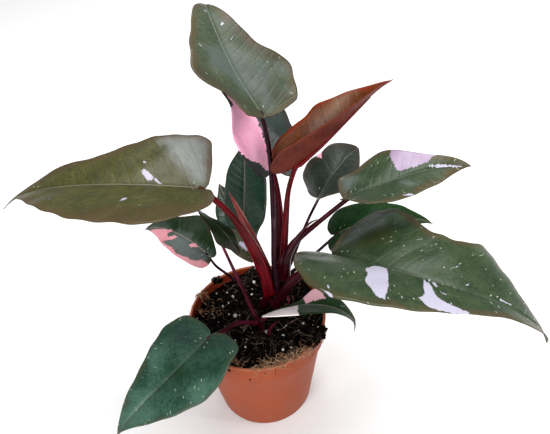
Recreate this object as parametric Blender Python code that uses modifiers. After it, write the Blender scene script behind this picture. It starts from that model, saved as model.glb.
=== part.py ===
"""A pink princess philodendron in its nursery pot, at real size.

Every leaf blade, petiole and stem is its own solid, and so are the soil and the pot. Lengths are
worked out in millimetres and turned into metres where a mesh is made. +Z is up, the origin is the
centre of the pot's base, and the plant is seen from -Y.
"""

import math
from dataclasses import dataclass

import bmesh
import bpy
import numpy as np
from mathutils import Vector
from mathutils.bvhtree import BVHTree

MM = 0.001
GAP = 0.3

# Pot: a thin injection-moulded nursery pot of 12 cm
RIM_RADIUS = 60.0
POT_HEIGHT = 107.0
BASE_RADIUS = 42.0
COLLAR_HEIGHT = 20.0
COLLAR_STEP = 1.8
COLLAR_TAPER = 1.0
LIP_HEIGHT = 3.0
LIP_DEPTH = 0.8
WALL = 1.3
FLOOR = 2.0
BASE_ROUND = 3.0
POT_STEPS = 40
DRAIN_HOLES = 8
DRAIN_HOLE_RADIUS = 4.0
DRAIN_CIRCLE_RADIUS = 30.0

# Soil: heaped over the rim behind and at the right, low at the left
SOIL_LEVEL = 97.0
SOIL_EDGE_ROUND = 3.0
SOIL_RINGS = 10
SOIL_STEPS = 40

# Blades
BLADE_THICKNESS = 0.8
VEIN_SLANT = 0.55
STATIONS = (0.0, 0.15, 0.32, 0.50, 0.68, 0.86)
MIDRIB_SAMPLES = 60
MARGIN_STEPS = 8

# Petioles and stems
STEM_SIDES = 10
STEM_RING_SPACING = 8.5
SEAT_REACH = 5.0
ROUTE_STEPS = 12


@dataclass
class Mound:
    """A rounded heap of soil, in mm."""

    x: float
    y: float
    height: float
    spread: float


MOUNDS = (
    Mound(4, 50, 16, 14),
    Mound(42, 38, 6, 16),
    Mound(52, -22, 9, 11),
    Mound(26, -50, 6, 18),
    Mound(-10, -56, 5, 15),
    Mound(12, 20, 3, 16),
)


@dataclass
class Leaf:
    """One blade. Lengths are in mm and angles in degrees.

    The midrib leaves base at the compass heading (from +X towards +Y) and at the slope rise, and
    then turns by turn and falls by fall; hook is a further fall that comes mostly at the tip. roll
    lifts the left side, and twist is what is added to it by the tip. The halves are folded up by
    fold at the base and fold_tip at the tip, and their edges curl down by curl of their width.
    left and right are the half-widths at STATIONS, and lobes is how far each half reaches back
    past the petiole. wave is how far the edge ripples, with waves ripples along it.
    """

    name: str
    colour: str
    base: tuple
    length: float
    heading: float
    turn: float
    rise: float
    fall: float
    hook: float
    roll: float
    twist: float
    fold: float
    fold_tip: float
    left: tuple
    right: tuple
    lobes: tuple
    curl: float = 0.10
    wave: float = 1.0
    waves: float = 2.5
    phase: float = 0.0
    rows: int = 9
    columns: int = 3


@dataclass
class Stalk:
    """A stem or a petiole: a round or grooved shoot along a smooth route. All in mm.

    on is the stalk that it grows from, and blade is the leaf blade at its top.
    """

    name: str
    colour: str
    route: tuple
    radii: tuple
    groove: float = 0.0
    blade: str = ""
    in_soil: bool = False
    on: str = ""


LEAVES = (
    Leaf(
        "blade_top", "dark_green", (23, 20, 299), 115, 128, -30, 32, -4, 58, 21, -6, 29, 12,
        (44, 39, 51, 38, 22, 13), (34, 42, 43, 27, 19, 11), (3, 3), wave=1.5, rows=13, columns=4,
    ),
    Leaf(
        "blade_right_large", "dark_green", (66, -10, 183), 201, -52, 50, 26, 58, 46, -7, -7, 23, 3,
        (57, 68, 53, 50, 66, 14), (40, 63, 62, 41, 20, 11), (7, 16), curl=0.15, wave=1.5,
        rows=16, columns=4,
    ),
    Leaf(
        "blade_left_large", "olive_green", (-26, 0, 254), 178, 178, -17, 12, 31, 32, 3, 6, 19, 7,
        (41, 65, 60, 53, 30, 4), (53, 57, 50, 30, 28, 4), (7, 4), wave=1.2, waves=2.0,
        rows=15, columns=4,
    ),
    Leaf(
        "blade_right_marbled", "dark_green", (81, 25, 210), 108, 4, 3, 19, 14, 30, -25, 52, 18, 5,
        (35, 31, 39, 29, 14, 7), (27, 41, 38, 27, 18, 7), (3, 3), rows=11,
    ),
    Leaf(
        "blade_right_back", "dark_green", (63, 67, 178), 66, 39, 12, 41, 43, 29, -41, 77, 14, 13,
        (28, 36, 34, 23, 20, 8), (26, 40, 29, 22, 14, 6), (3, 3), rows=9,
    ),
    Leaf(
        "blade_front_left", "blue_green", (-38, -38, 131), 114, 228, -32, -4, 42, 8, 2, -11, 13, 7,
        (35, 38, 43, 33, 21, 7), (32, 36, 33, 25, 19, 9), (6, 5), rows=12, columns=4,
    ),
    Leaf(
        "blade_right_hidden", "dark_green", (76, 60, 137), 96, 1, 3, 31, 62, 4, -4, 5, 6, 9,
        (28, 30, 28, 21, 17, 6), (28, 30, 29, 24, 15, 6), (6, 8),
    ),
    Leaf(
        "blade_pink", "pink", (23, 40, 248), 91, 112, 18, 54, 23, 1, 27, 1, 17, 6,
        (32, 39, 33, 24, 24, 7), (37, 35, 33, 29, 18, 7), (15, 22), rows=11,
    ),
    Leaf(
        "blade_new_rolled", "red_brown", (40, 15, 254), 100, 8, 3, 33, -23, 36, -6, 1, 62, 40,
        (22, 23, 22, 22, 15, 5), (25, 26, 23, 18, 13, 5), (12, 13), curl=-0.09, wave=0.3,
        rows=11,
    ),
    Leaf(
        "blade_back_upright", "dark_green", (-6, 54, 156), 87, 58, 21, 75, 8, -2, -18, 7, 18, 6,
        (18, 20, 21, 18, 16, 6), (26, 23, 29, 25, 22, 5), (7, 7),
    ),
    Leaf(
        "blade_back_left", "blue_green", (-6, 74, 121), 64, 130, -20, 66, 30, 0, 6, 0, 16, 5,
        (10, 14, 17, 18, 13, 5), (10, 14, 16, 16, 12, 5), (4, 4),
    ),
    Leaf(
        "blade_left_folded", "olive_green", (-33, 30, 202), 46, -42, -1, -14, 53, -4, -55, 37, 1, 1,
        (19, 20, 20, 16, 10, 4), (19, 19, 19, 20, 13, 4), (5, 5), wave=0.6, rows=7,
    ),
    Leaf(
        "blade_left_pink_edge", "grey_green", (-38, 45, 139), 81, 144, 1, 39, 76, 3, -9, -9, 8, 9,
        (16, 20, 20, 17, 10, 4), (9, 17, 27, 17, 10, 4), (5, 4), wave=0.6,
    ),
    Leaf(
        "blade_left_small", "grey_green", (2, 28, 150), 48, 172, -8, 55, 10, 0, -40, 0, 30, 10,
        (7, 9, 10, 9, 7, 3), (7, 9, 10, 9, 7, 3), (2, 2), wave=0.4, rows=6, columns=2,
    ),
    Leaf(
        "blade_front_right", "dark_green", (7, -12, 119), 106, 12, -15, 17, 79, 43, -43, 59, 2, 9,
        (2, 3, 7, 27, 12, 3), (12, 23, 21, 13, 7, 3), (1, 2), wave=0.6, rows=12,
    ),
    Leaf(
        "sheath_left_large", "petiole_pink", (15.6, 14.2, 140), 101, 180, 0, 76, 2, 0, -88, 0, 2, 12,
        (2, 3, 3.2, 3.2, 2.8, 1.6), (2, 3, 3.2, 3.2, 2.8, 1.6), (1, 1), wave=0.3,
        rows=8, columns=2,
    ),
)

STALKS = (
    Stalk(
        "main_stem", "stem_red", ((7, 16, 75), (7, 16, 95), (7, 16, 102), (12, 15, 113), (18, 15, 126), (22, 16, 140)),
        (4.2, 4.2, 4.4, 4.6, 4.4, 3.0), in_soil=True,
    ),
    Stalk(
        "back_stem", "stem_red", ((20, 38, 76), (20, 38, 98), (20, 38, 112), (20, 38, 124)),
        (3.2, 3.2, 3.2, 2.4), in_soil=True,
    ),
    Stalk(
        "low_shoot", "stem_red", ((3, -9, 76), (3, -9, 96), (3, -9, 102), (4, -12, 113.5)),
        (3.0, 3.0, 3.0, 2.4), in_soil=True,
    ),
    Stalk(
        "young_shoot", "petiole_pink", ((9, -15, 82), (9, -15, 96), (9, -15, 99), (12, -13, 104), (18, -10, 108)),
        (1.8, 1.8, 1.8, 1.6, 0.7), in_soil=True,
    ),
    Stalk(
        "petiole_top", "petiole_dark",
        ((19.2, 7.5, 130), (19.2, 8, 145), (19.5, 9, 165), (22, 11, 206), (24, 16, 267)),
        (2.7, 2.6, 2.3, 2.0, 1.8), 0.35, "blade_top", on="main_stem",
    ),
    Stalk(
        "petiole_pink", "petiole_dark",
        ((19, 23.2, 133), (23, 24.5, 150), (27, 28, 186), (27, 36, 222)),
        (2.9, 2.6, 2.0, 1.8), 0.35, "blade_pink", on="main_stem",
    ),
    Stalk(
        "petiole_new", "stem_red",
        ((22.6, 16.2, 142), (25, 17, 150), (28, 17.5, 162), (32, 16.5, 200), (36, 15, 232)),
        (2.6, 2.5, 2.3, 2.1, 1.9), 0.35, "blade_new_rolled", on="main_stem",
    ),
    Stalk(
        "petiole_right_marbled", "stem_red",
        ((28.2, 12, 138), (28.5, 10.5, 150), (30, 10, 162), (34, 12, 171), (41, 15, 179), (60, 20, 192)),
        (3.2, 3.2, 3.0, 2.7, 2.3, 1.8), 0.5, "blade_right_marbled", on="main_stem",
    ),
    Stalk(
        "petiole_right_large", "stem_red",
        ((18, 6.5, 110), (24, 5, 124), (34, 2, 144), (50, -4, 166)),
        (3.6, 4.0, 3.6, 2.4), 0.5, "blade_right_large", on="main_stem",
    ),
    Stalk(
        "petiole_left_large", "stem_red",
        ((12.4, 7.4, 126), (10, 8, 152), (1, 6, 190), (-11, 3, 224)),
        (4.4, 4.8, 3.6, 2.2), 0.5, "blade_left_large", on="main_stem",
    ),
    Stalk(
        "petiole_right_back", "petiole_dark",
        ((26, 38, 112), (33, 40, 124), (42, 49, 140), (53, 60, 159)),
        (1.9, 1.8, 1.5, 1.3), 0.3, "blade_right_back", on="back_stem",
    ),
    Stalk(
        "petiole_right_hidden", "petiole_dark",
        ((26, 42, 104), (34, 44, 110), (47, 48, 117), (61, 54, 125)),
        (1.9, 1.8, 1.6, 1.4), 0.3, "blade_right_hidden", on="back_stem",
    ),
    Stalk(
        "petiole_back_upright", "petiole_dark",
        ((14.6, 39.6, 119), (8, 41, 129), (0, 44, 145)),
        (1.9, 1.7, 1.5), 0.3, "blade_back_upright", on="back_stem",
    ),
    Stalk(
        "petiole_back_left", "petiole_dark",
        ((15.4, 42.2, 108), (9, 49, 116), (1, 63, 115), (-4, 75, 114)),
        (1.9, 1.7, 1.6, 1.5), 0.3, "blade_back_left", on="back_stem",
    ),
    Stalk(
        "petiole_left_small", "petiole_pink",
        ((15.4, 34.6, 117), (9, 31, 128), (4, 28.5, 140)),
        (1.8, 1.8, 1.6), 0.3, "blade_left_small", on="back_stem",
    ),
    Stalk(
        "petiole_left_folded", "petiole_dark",
        ((0, -4, 103), (-4, 2, 112), (-9, 10, 127), (-14, 15, 142), (-20, 20, 163), (-27, 26, 187)),
        (2.0, 1.9, 1.7, 1.5, 1.3, 1.2), 0.3, "blade_left_folded", on="low_shoot",
    ),
    Stalk(
        "petiole_left_pink_edge", "petiole_dark",
        ((-18, 49, 78), (-18, 49, 97), (-22, 48.5, 106), (-27, 47.5, 114), (-34, 46.5, 125)),
        (1.5, 1.5, 1.4, 1.3, 1.2), 0.0, "blade_left_pink_edge", in_soil=True,
    ),
    Stalk(
        "petiole_front_left", "petiole_pink",
        ((-2.4, -12.6, 110.4), (-8, -15.5, 115.5), (-18, -21, 122), (-28, -30, 125)),
        (2.2, 2.0, 1.8, 1.6), 0.3, "blade_front_left", on="low_shoot",
    ),
    Stalk(
        "petiole_front_right", "petiole_pink",
        ((6, -14, 115.6), (7.4, -14, 116.6)),
        (1.5, 1.4), 0.0, "blade_front_right", on="low_shoot",
    ),
    Stalk(
        "aerial_root", "petiole_pink",
        ((29, -1.2, 125), (28, -4, 120), (23, -4, 112), (16, -1, 106)),
        (0.9, 0.8, 0.8, 0.5), on="petiole_right_large",
    ),
)

COLOURS = {
    "dark_green": (0.045, 0.085, 0.055, 0.35),
    "olive_green": (0.105, 0.110, 0.055, 0.35),
    "blue_green": (0.040, 0.110, 0.085, 0.35),
    "grey_green": (0.130, 0.160, 0.120, 0.40),
    "pink": (0.870, 0.330, 0.480, 0.35),
    "red_brown": (0.250, 0.060, 0.025, 0.25),
    "stem_red": (0.150, 0.006, 0.012, 0.30),
    "petiole_dark": (0.040, 0.010, 0.018, 0.30),
    "petiole_pink": (0.300, 0.040, 0.090, 0.35),
    "soil_black": (0.018, 0.012, 0.009, 0.95),
    "terracotta_plastic": (0.480, 0.115, 0.048, 0.45),
}


def smooth_line(points, steps):
    """A Catmull-Rom curve through the points, with this many steps in each span."""
    points = np.asarray(points, float)
    ends = np.vstack([2 * points[0] - points[1], points, 2 * points[-1] - points[-2]])
    t = (np.arange(steps) / steps)[:, None]
    spans = []
    for before, start, end, after in zip(ends, ends[1:], ends[2:], ends[3:]):
        spans.append(
            start
            + 0.5 * t * (end - before)
            + t**2 * (before - 2.5 * start + 2 * end - 0.5 * after)
            + 0.5 * t**3 * (3 * start - before - 3 * end + after)
        )
    return np.vstack(spans + [points[-1:]])


def unit(vectors):
    return vectors / np.linalg.norm(vectors, axis=-1, keepdims=True)


def make_material(name):
    red, green, blue, roughness = COLOURS[name]
    material = bpy.data.materials.new(name)
    material.use_nodes = True
    shader = material.node_tree.nodes["Principled BSDF"]
    shader.inputs["Base Color"].default_value = (red, green, blue, 1)
    shader.inputs["Roughness"].default_value = roughness
    shader.inputs["Metallic"].default_value = 0
    return material


def add_object(name, mesh, material, collection):
    piece = bpy.data.objects.new(name, mesh)
    mesh.materials.append(material)
    collection.objects.link(piece)
    return piece


def mesh_from(name, points, faces):
    """A mesh of points in mm."""
    mesh = bpy.data.meshes.new(name)
    mesh.from_pydata([tuple(p * MM) for p in np.asarray(points, float)], [], faces)
    mesh.shade_smooth()
    return mesh


def evaluated_copy(piece):
    """The piece with its modifiers applied."""
    graph = bpy.context.evaluated_depsgraph_get()
    mesh = bpy.data.meshes.new_from_object(piece.evaluated_get(graph))
    piece.modifiers.clear()
    piece.data = mesh
    return piece


def turned(name, profile, steps, material, collection):
    """A profile of (radius, height) in mm, turned about Z."""
    mesh = bpy.data.meshes.new(name)
    edges = [(i, i + 1) for i in range(len(profile) - 1)]
    mesh.from_pydata([(r * MM, 0, z * MM) for r, z in profile], edges, [])
    piece = add_object(name, mesh, material, collection)
    screw = piece.modifiers.new("turn", "SCREW")
    screw.axis = "Z"
    screw.steps = steps
    screw.render_steps = steps
    screw.use_merge_vertices = True
    screw.merge_threshold = 0.00001
    return evaluated_copy(piece)


def cut_holes(piece, cutters):
    """Cuts each cutter out of the piece, and then removes the cutters."""
    for cutter in cutters:
        hole = piece.modifiers.new("hole", "BOOLEAN")
        hole.operation = "DIFFERENCE"
        hole.object = cutter
    evaluated_copy(piece)
    for cutter in cutters:
        bpy.data.objects.remove(cutter)


def upright_cutter(x, y, low, high, radius, collection, sides=20):
    bpy.ops.mesh.primitive_cylinder_add(
        vertices=sides,
        radius=radius * MM,
        depth=(high - low) * MM,
        location=(x * MM, y * MM, (low + high) / 2 * MM),
    )
    cutter = bpy.context.object
    cutter.hide_render = True
    cutter.display_type = "WIRE"
    for home in cutter.users_collection:
        home.objects.unlink(cutter)
    collection.objects.link(cutter)
    return cutter


def pot_radius(height):
    """The outer radius of the pot's tapered body, below the collar."""
    top = RIM_RADIUS - COLLAR_TAPER - COLLAR_STEP
    return BASE_RADIUS + (top - BASE_RADIUS) * height / (POT_HEIGHT - COLLAR_HEIGHT)


def pot_profile():
    """From the floor's centre up the inside, over the rim, down the outside and back below."""
    collar_low = POT_HEIGHT - COLLAR_HEIGHT
    collar_radius = RIM_RADIUS - LIP_DEPTH
    outside = [
        (RIM_RADIUS - 0.4, POT_HEIGHT),
        (RIM_RADIUS, POT_HEIGHT - 0.5),
        (RIM_RADIUS, POT_HEIGHT - LIP_HEIGHT),
        (collar_radius, POT_HEIGHT - LIP_HEIGHT - 0.6),
        (RIM_RADIUS - COLLAR_TAPER, collar_low + 0.6),
        (pot_radius(collar_low) + 0.4, collar_low),
        (pot_radius(collar_low - 1.2), collar_low - 1.2),
        (pot_radius(collar_low / 2), collar_low / 2),
        (pot_radius(BASE_ROUND), BASE_ROUND),
        (pot_radius(0) - 0.3 * BASE_ROUND, 0.3 * BASE_ROUND),
        (pot_radius(0) - BASE_ROUND, 0),
        (0, 0),
    ]
    inside = [
        (0, FLOOR),
        (pot_radius(0) - BASE_ROUND, FLOOR),
        (pot_radius(BASE_ROUND) - WALL, FLOOR + BASE_ROUND * 0.6),
        (pot_radius(collar_low / 2) - WALL, collar_low / 2),
        (pot_radius(collar_low - 1.2) - WALL, collar_low - 1.2),
        (soil_edge_radius(), collar_low + 1.4),
        (RIM_RADIUS - LIP_DEPTH - WALL, POT_HEIGHT - LIP_HEIGHT),
        (RIM_RADIUS - LIP_DEPTH - WALL, POT_HEIGHT - 0.3),
        (RIM_RADIUS - LIP_DEPTH - WALL + 0.4, POT_HEIGHT),
    ]
    return inside + outside


def soil_edge_radius():
    """The inner radius of the collar at the soil's edge."""
    return RIM_RADIUS - COLLAR_TAPER - WALL


def make_pot(material, collection, cutters):
    pot = turned("pot", pot_profile(), POT_STEPS, material, collection)
    holes = []
    for k in range(DRAIN_HOLES):
        angle = 2 * math.pi * (k + 0.5) / DRAIN_HOLES
        x = DRAIN_CIRCLE_RADIUS * math.cos(angle)
        y = DRAIN_CIRCLE_RADIUS * math.sin(angle)
        holes.append(upright_cutter(x, y, -FLOOR, 2 * FLOOR, DRAIN_HOLE_RADIUS, cutters, 12))
    cut_holes(pot, holes)
    pot.data.shade_smooth()
    pot.data.set_sharp_from_angle(angle=math.radians(35))


def soil_height(x, y):
    """The height of the soil's surface: a level, its mounds and a crumbly relief."""
    height = SOIL_LEVEL + 0.02 * x
    for mound in MOUNDS:
        away = (x - mound.x) ** 2 + (y - mound.y) ** 2
        height = height + mound.height * math.exp(-away / mound.spread**2)
    height += 0.9 * math.sin(0.29 * x + 1.3) * math.sin(0.33 * y + 0.4)
    height += 0.6 * math.sin(0.62 * x + 0.41 * y) + 0.5 * math.sin(0.74 * y - 0.53 * x + 2.0)
    return height


def make_soil(material, collection, cutters):
    """The potting mix, which fills the pot and has a plain hole for each stem."""
    edge = soil_edge_radius() - GAP
    collar_low = POT_HEIGHT - COLLAR_HEIGHT
    top = SOIL_LEVEL - SOIL_EDGE_ROUND
    profile = [(r, top) for r in np.linspace(0, edge, SOIL_RINGS + 1)]
    profile += [
        (edge, collar_low + 2.6),
        (pot_radius(collar_low - 1.4) - WALL - GAP - 0.1, collar_low - 1.4),
        (pot_radius(BASE_ROUND) - WALL - GAP, FLOOR + BASE_ROUND * 0.6 + 0.4),
        (pot_radius(0) - BASE_ROUND - GAP, FLOOR + GAP),
        (0, FLOOR + GAP),
    ]
    soil = turned("soil", profile, SOIL_STEPS, material, collection)
    for vertex in soil.data.vertices:
        if vertex.co.z > (top - 1) * MM:
            vertex.co.z = soil_height(vertex.co.x / MM, vertex.co.y / MM) * MM
    mesh = bmesh.new()
    mesh.from_mesh(soil.data)
    bmesh.ops.recalc_face_normals(mesh, faces=mesh.faces)
    bmesh.ops.triangulate(mesh, faces=mesh.faces)
    mesh.to_mesh(soil.data)
    mesh.free()
    holes = []
    for stalk in STALKS:
        if stalk.in_soil:
            x, y, bottom = stalk.route[0]
            radius = max(stalk.radii[:3]) + 2 * GAP
            above = bottom + POT_HEIGHT
            holes.append(upright_cutter(x, y, bottom - GAP, above, radius, cutters, 14))
    cut_holes(soil, holes)
    soil.data.shade_smooth()


def midrib_frames(leaf, along):
    """Points on the midrib at these distances, with the directions along, to the left and up."""
    t = np.arange(MIDRIB_SAMPLES + 1) / MIDRIB_SAMPLES
    slope = np.radians(leaf.rise - leaf.fall * t - leaf.hook * t**5)
    heading = np.radians(leaf.heading + leaf.turn * t)
    forward = np.stack(
        [np.cos(slope) * np.cos(heading), np.cos(slope) * np.sin(heading), np.sin(slope)], -1
    )
    steps = (forward[1:] + forward[:-1]) / 2 * leaf.length / MIDRIB_SAMPLES
    points = np.vstack([np.zeros(3), np.cumsum(steps, 0)])
    at = np.clip(along / leaf.length, 0, 1)
    place = np.stack([np.interp(at, t, points[:, k]) for k in range(3)], -1)
    ahead = unit(np.stack([np.interp(at, t, forward[:, k]) for k in range(3)], -1))
    place = place + ahead * np.minimum(along, 0)[..., None]
    turned_to = np.interp(at, t, heading)
    level = np.stack([-np.sin(turned_to), np.cos(turned_to), np.zeros_like(turned_to)], -1)
    above = np.cross(ahead, level)
    roll = np.radians(leaf.roll + leaf.twist * at)[..., None]
    left = level * np.cos(roll) + above * np.sin(roll)
    up = above * np.cos(roll) - level * np.sin(roll)
    return place + np.array(leaf.base, float), ahead, left, up, at


def blade_points(leaf, along, across):
    """Points of the blade's middle surface. across is positive on the left half."""
    place, _, left, up, at = midrib_frames(leaf, along)
    width = max(leaf.left + leaf.right)
    out = np.abs(across)
    fold = np.radians(leaf.fold + (leaf.fold_tip - leaf.fold) * at)
    ripple = np.sin(
        2 * math.pi * (leaf.waves * along / leaf.length + leaf.phase) + np.where(across > 0, 0, 2)
    )
    edge = (out / width) ** 2
    rise = out * np.sin(fold) + edge * (leaf.wave * ripple - leaf.curl * width)
    sideways = out * np.cos(fold) * np.sign(across)
    return place + left * sideways[..., None] + up * rise[..., None]


def margin(leaf, half_widths, lobe):
    """One half's edge in the flat blade, from beside the petiole, round the lobe, to the tip."""
    first = half_widths[0]
    points = [(-0.60 * lobe, 0.08 * first), (-lobe, 0.40 * first), (-0.62 * lobe, 0.82 * first)]
    points += [(at * leaf.length, wide) for at, wide in zip(STATIONS, half_widths)]
    points.append((leaf.length, 0))
    return smooth_line(points, MARGIN_STEPS)


def ruled_rows(leaf, half_widths, lobe):
    """Pairs of midrib distance and edge point. The first rows fan out from the petiole."""
    edge = margin(leaf, half_widths, lobe)
    walked = np.concatenate([[0], np.cumsum(np.linalg.norm(np.diff(edge, axis=0), axis=1))])
    reach = np.maximum.accumulate(edge[:, 0] - VEIN_SLANT * edge[:, 1])
    fan_end = np.interp(0, reach, walked)
    fan_count = max(4, int(round(fan_end / leaf.length * leaf.rows)))
    places = [(0.0, walk) for walk in np.linspace(0, fan_end, fan_count + 1)[:-1]]
    for k in range(leaf.rows):
        start = leaf.length * (k / leaf.rows) ** 1.1
        places.append((start, np.interp(start, reach, walked)))
    return [
        (start, np.interp(walk, walked, edge[:, 0]), np.interp(walk, walked, edge[:, 1]))
        for start, walk in places
    ]


def blade_sheet(leaf):
    """The blade's middle surface as a triangulated bmesh, both halves meeting at the midrib."""
    sheet = bmesh.new()
    tip = np.array([leaf.length])
    for side, widths, lobe in ((1, leaf.left, leaf.lobes[0]), (-1, leaf.right, leaf.lobes[1])):
        rows = ruled_rows(leaf, widths, lobe)
        across = np.arange(leaf.columns + 1) / leaf.columns
        grid = []
        for start, edge_along, edge_out in rows:
            along = start + (edge_along - start) * across
            points = blade_points(leaf, along, side * edge_out * across + 1e-9 * side)
            grid.append([sheet.verts.new(Vector(p) * MM) for p in points])
        end = sheet.verts.new(Vector(blade_points(leaf, tip, np.zeros(1))[0]) * MM)
        for row, after in zip(grid, grid[1:]):
            for k in range(leaf.columns):
                corners = [row[k], row[k + 1], after[k + 1], after[k]]
                sheet.faces.new(corners if side < 0 else corners[::-1])
        for k in range(leaf.columns):
            corners = [grid[-1][k], grid[-1][k + 1], end]
            sheet.faces.new(corners if side < 0 else corners[::-1])
    bmesh.ops.remove_doubles(sheet, verts=sheet.verts, dist=0.00002)
    bmesh.ops.dissolve_degenerate(sheet, edges=sheet.edges, dist=0.00001)
    bmesh.ops.triangulate(sheet, faces=sheet.faces)
    return sheet


def make_blade(leaf, material, collection):
    sheet = blade_sheet(leaf)
    mesh = bpy.data.meshes.new(leaf.name)
    sheet.to_mesh(mesh)
    sheet.free()
    mesh.shade_smooth()
    blade = add_object(leaf.name, mesh, material, collection)
    solid = blade.modifiers.new("thickness", "SOLIDIFY")
    solid.thickness = BLADE_THICKNESS * MM
    solid.offset = 0
    solid.use_even_offset = False


def surface_of(name):
    """A search tree of the piece's outer surface."""
    return BVHTree.FromObject(bpy.data.objects[name], bpy.context.evaluated_depsgraph_get())


def clearance(surface, point):
    """The distance from the point to the surface, in mm."""
    return surface.find_nearest(Vector(point) * MM)[3] / MM


def ring_frames(route):
    """Evenly spaced ring centres along the route, their directions, and their places in it."""
    line = smooth_line(route, ROUTE_STEPS)
    lengths = np.concatenate([[0], np.cumsum(np.linalg.norm(np.diff(line, axis=0), axis=1))])
    ring_count = max(5, int(round(lengths[-1] / STEM_RING_SPACING)) + 1)
    at = np.linspace(0, lengths[-1], ring_count)
    centres = np.stack([np.interp(at, lengths, line[:, k]) for k in range(3)], -1)
    return centres, unit(np.gradient(centres, axis=0)), at, lengths[::ROUTE_STEPS]


def seat_end(route, end, surface, radius, direction):
    """Slides one end of the route along the direction until its rim is GAP from the surface."""
    start = route[end].copy()
    angles = 2 * math.pi * np.arange(STEM_SIDES) / STEM_SIDES
    for _ in range(3):
        ahead = ring_frames(route)[1][end]
        side = unit(np.cross(ahead, [0.31, 0.43, 0.85]))
        up = np.cross(ahead, side)
        rim = radius * (np.cos(angles)[:, None] * side + np.sin(angles)[:, None] * up)
        for step in np.arange(-SEAT_REACH, SEAT_REACH, 0.05):
            moved = start + direction * step
            if min(clearance(surface, moved + point) for point in rim) < GAP + 0.1:
                route[end] = moved
                break


def stalk_route(stalk):
    """The route, with its low end seated on its parent and its top end under its blade."""
    route = [np.array(p, float) for p in stalk.route]
    if stalk.blade:
        leaf = next(leaf for leaf in LEAVES if leaf.name == stalk.blade)
        place, along, _, up, _ = midrib_frames(leaf, np.array([0.0]))
        route.append(place[0] - up[0] * stalk.radii[-1] + along[0] * 1.5)
        seat_end(route, -1, surface_of(leaf.name), stalk.radii[-1], up[0])
    if stalk.on:
        parent = next(other for other in STALKS if other.name == stalk.on)
        axis = smooth_line(parent.route, ROUTE_STEPS)
        inward = axis[np.argmin(np.linalg.norm(axis - route[0], axis=1))] - route[0]
        seat_end(route, 0, surface_of(stalk.on), stalk.radii[0], unit(inward))
    return route


def make_stalk(stalk, material, collection):
    """Rings along the route. A groove runs down the upper side and fades out towards the top."""
    centres, forward, at, knots = ring_frames(stalk_route(stalk))
    ring_count = len(centres)
    radii = list(stalk.radii) + [stalk.radii[-1]] * (len(knots) - len(stalk.radii))
    sizes = np.interp(at, knots, radii)
    side = unit(np.cross(forward[0], [0.3, 1.0, 0.1]))
    points = []
    angles = 2 * math.pi * np.arange(STEM_SIDES) / STEM_SIDES
    for k, (centre, ahead, size) in enumerate(zip(centres, forward, sizes)):
        side = unit(side - ahead * np.dot(side, ahead))
        up = np.cross(ahead, side)
        depth = stalk.groove * max(0.0, 1 - 1.3 * k / (ring_count - 1))
        away = np.minimum(angles, 2 * math.pi - angles)
        shape = size * (1 - depth * np.exp(-((away / 0.5) ** 2)))
        for angle, radius in zip(angles, shape):
            points.append(centre + radius * (math.cos(angle) * side + math.sin(angle) * up))
    faces = []
    for k in range(ring_count - 1):
        for j in range(STEM_SIDES):
            after = (j + 1) % STEM_SIDES
            low, high = k * STEM_SIDES, (k + 1) * STEM_SIDES
            faces.append((low + j, low + after, high + after, high + j))
    faces.append(tuple(range(STEM_SIDES))[::-1])
    faces.append(tuple(range((ring_count - 1) * STEM_SIDES, ring_count * STEM_SIDES)))
    mesh = mesh_from(stalk.name, points, faces)
    mesh.set_sharp_from_angle(angle=math.radians(50))
    add_object(stalk.name, mesh, material, collection)
    bpy.context.view_layer.update()


def new_collection(name):
    collection = bpy.data.collections.new(name)
    bpy.context.scene.collection.children.link(collection)
    return collection


def build():
    for old in list(bpy.data.objects):
        bpy.data.objects.remove(old)
    plant = new_collection("philodendron_in_pot")
    cutters = new_collection("cutters")
    materials = {name: make_material(name) for name in COLOURS}
    make_pot(materials["terracotta_plastic"], plant, cutters)
    make_soil(materials["soil_black"], plant, cutters)
    for leaf in LEAVES:
        make_blade(leaf, materials[leaf.colour], plant)
    for stalk in STALKS:
        make_stalk(stalk, materials[stalk.colour], plant)


build()
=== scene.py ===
# %% [markdown]
# # A pink princess philodendron in its nursery pot
# This lesson dresses a plain CAD plant so that it looks alive. The CAD model gives the size and the
# place of every blade, petiole and stem. Here each of them is made again with many more faces,
# from the same numbers, and gets its veins, its pink and white patches and its gloss.

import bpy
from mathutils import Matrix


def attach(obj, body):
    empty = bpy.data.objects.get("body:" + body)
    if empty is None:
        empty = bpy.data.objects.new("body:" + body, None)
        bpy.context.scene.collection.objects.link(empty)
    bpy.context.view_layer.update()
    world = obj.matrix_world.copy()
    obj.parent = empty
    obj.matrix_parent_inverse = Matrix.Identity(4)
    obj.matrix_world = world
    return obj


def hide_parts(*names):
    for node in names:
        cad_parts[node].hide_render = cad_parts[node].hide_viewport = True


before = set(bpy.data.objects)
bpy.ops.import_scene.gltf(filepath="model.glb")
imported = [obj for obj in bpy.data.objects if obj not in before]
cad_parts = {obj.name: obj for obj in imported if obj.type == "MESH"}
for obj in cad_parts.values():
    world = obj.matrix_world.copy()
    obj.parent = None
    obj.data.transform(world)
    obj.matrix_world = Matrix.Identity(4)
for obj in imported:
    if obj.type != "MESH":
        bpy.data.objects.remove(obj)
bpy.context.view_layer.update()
print("CAD pieces:", len(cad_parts))

# %% The libraries, and the unit
import math
from dataclasses import dataclass

import bmesh
import bpy
import numpy as np
from mathutils import Matrix, Vector, noise

MM = 0.001
print("all sizes in the tables are mm, and one mm is", MM)

# %% [markdown]
# ## The camera
# The photo was taken from close by, looking down at the pot at about 42 degrees with a small lean.
# A camera's matrix has its own right, up and backward directions as columns, so it's built from
# those three, and no aiming helper is needed.

# %% Put the camera at the photo's viewpoint
PHOTO_WIDTH = 550
FOCAL_PIXELS = 750
SENSOR_WIDTH = 36
CAMERA_PLACE = Vector((0.0236, -0.4335, 0.6081))
LOOK_DOWN = math.radians(41.91)
LEAN = math.radians(-5.34)


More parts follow.
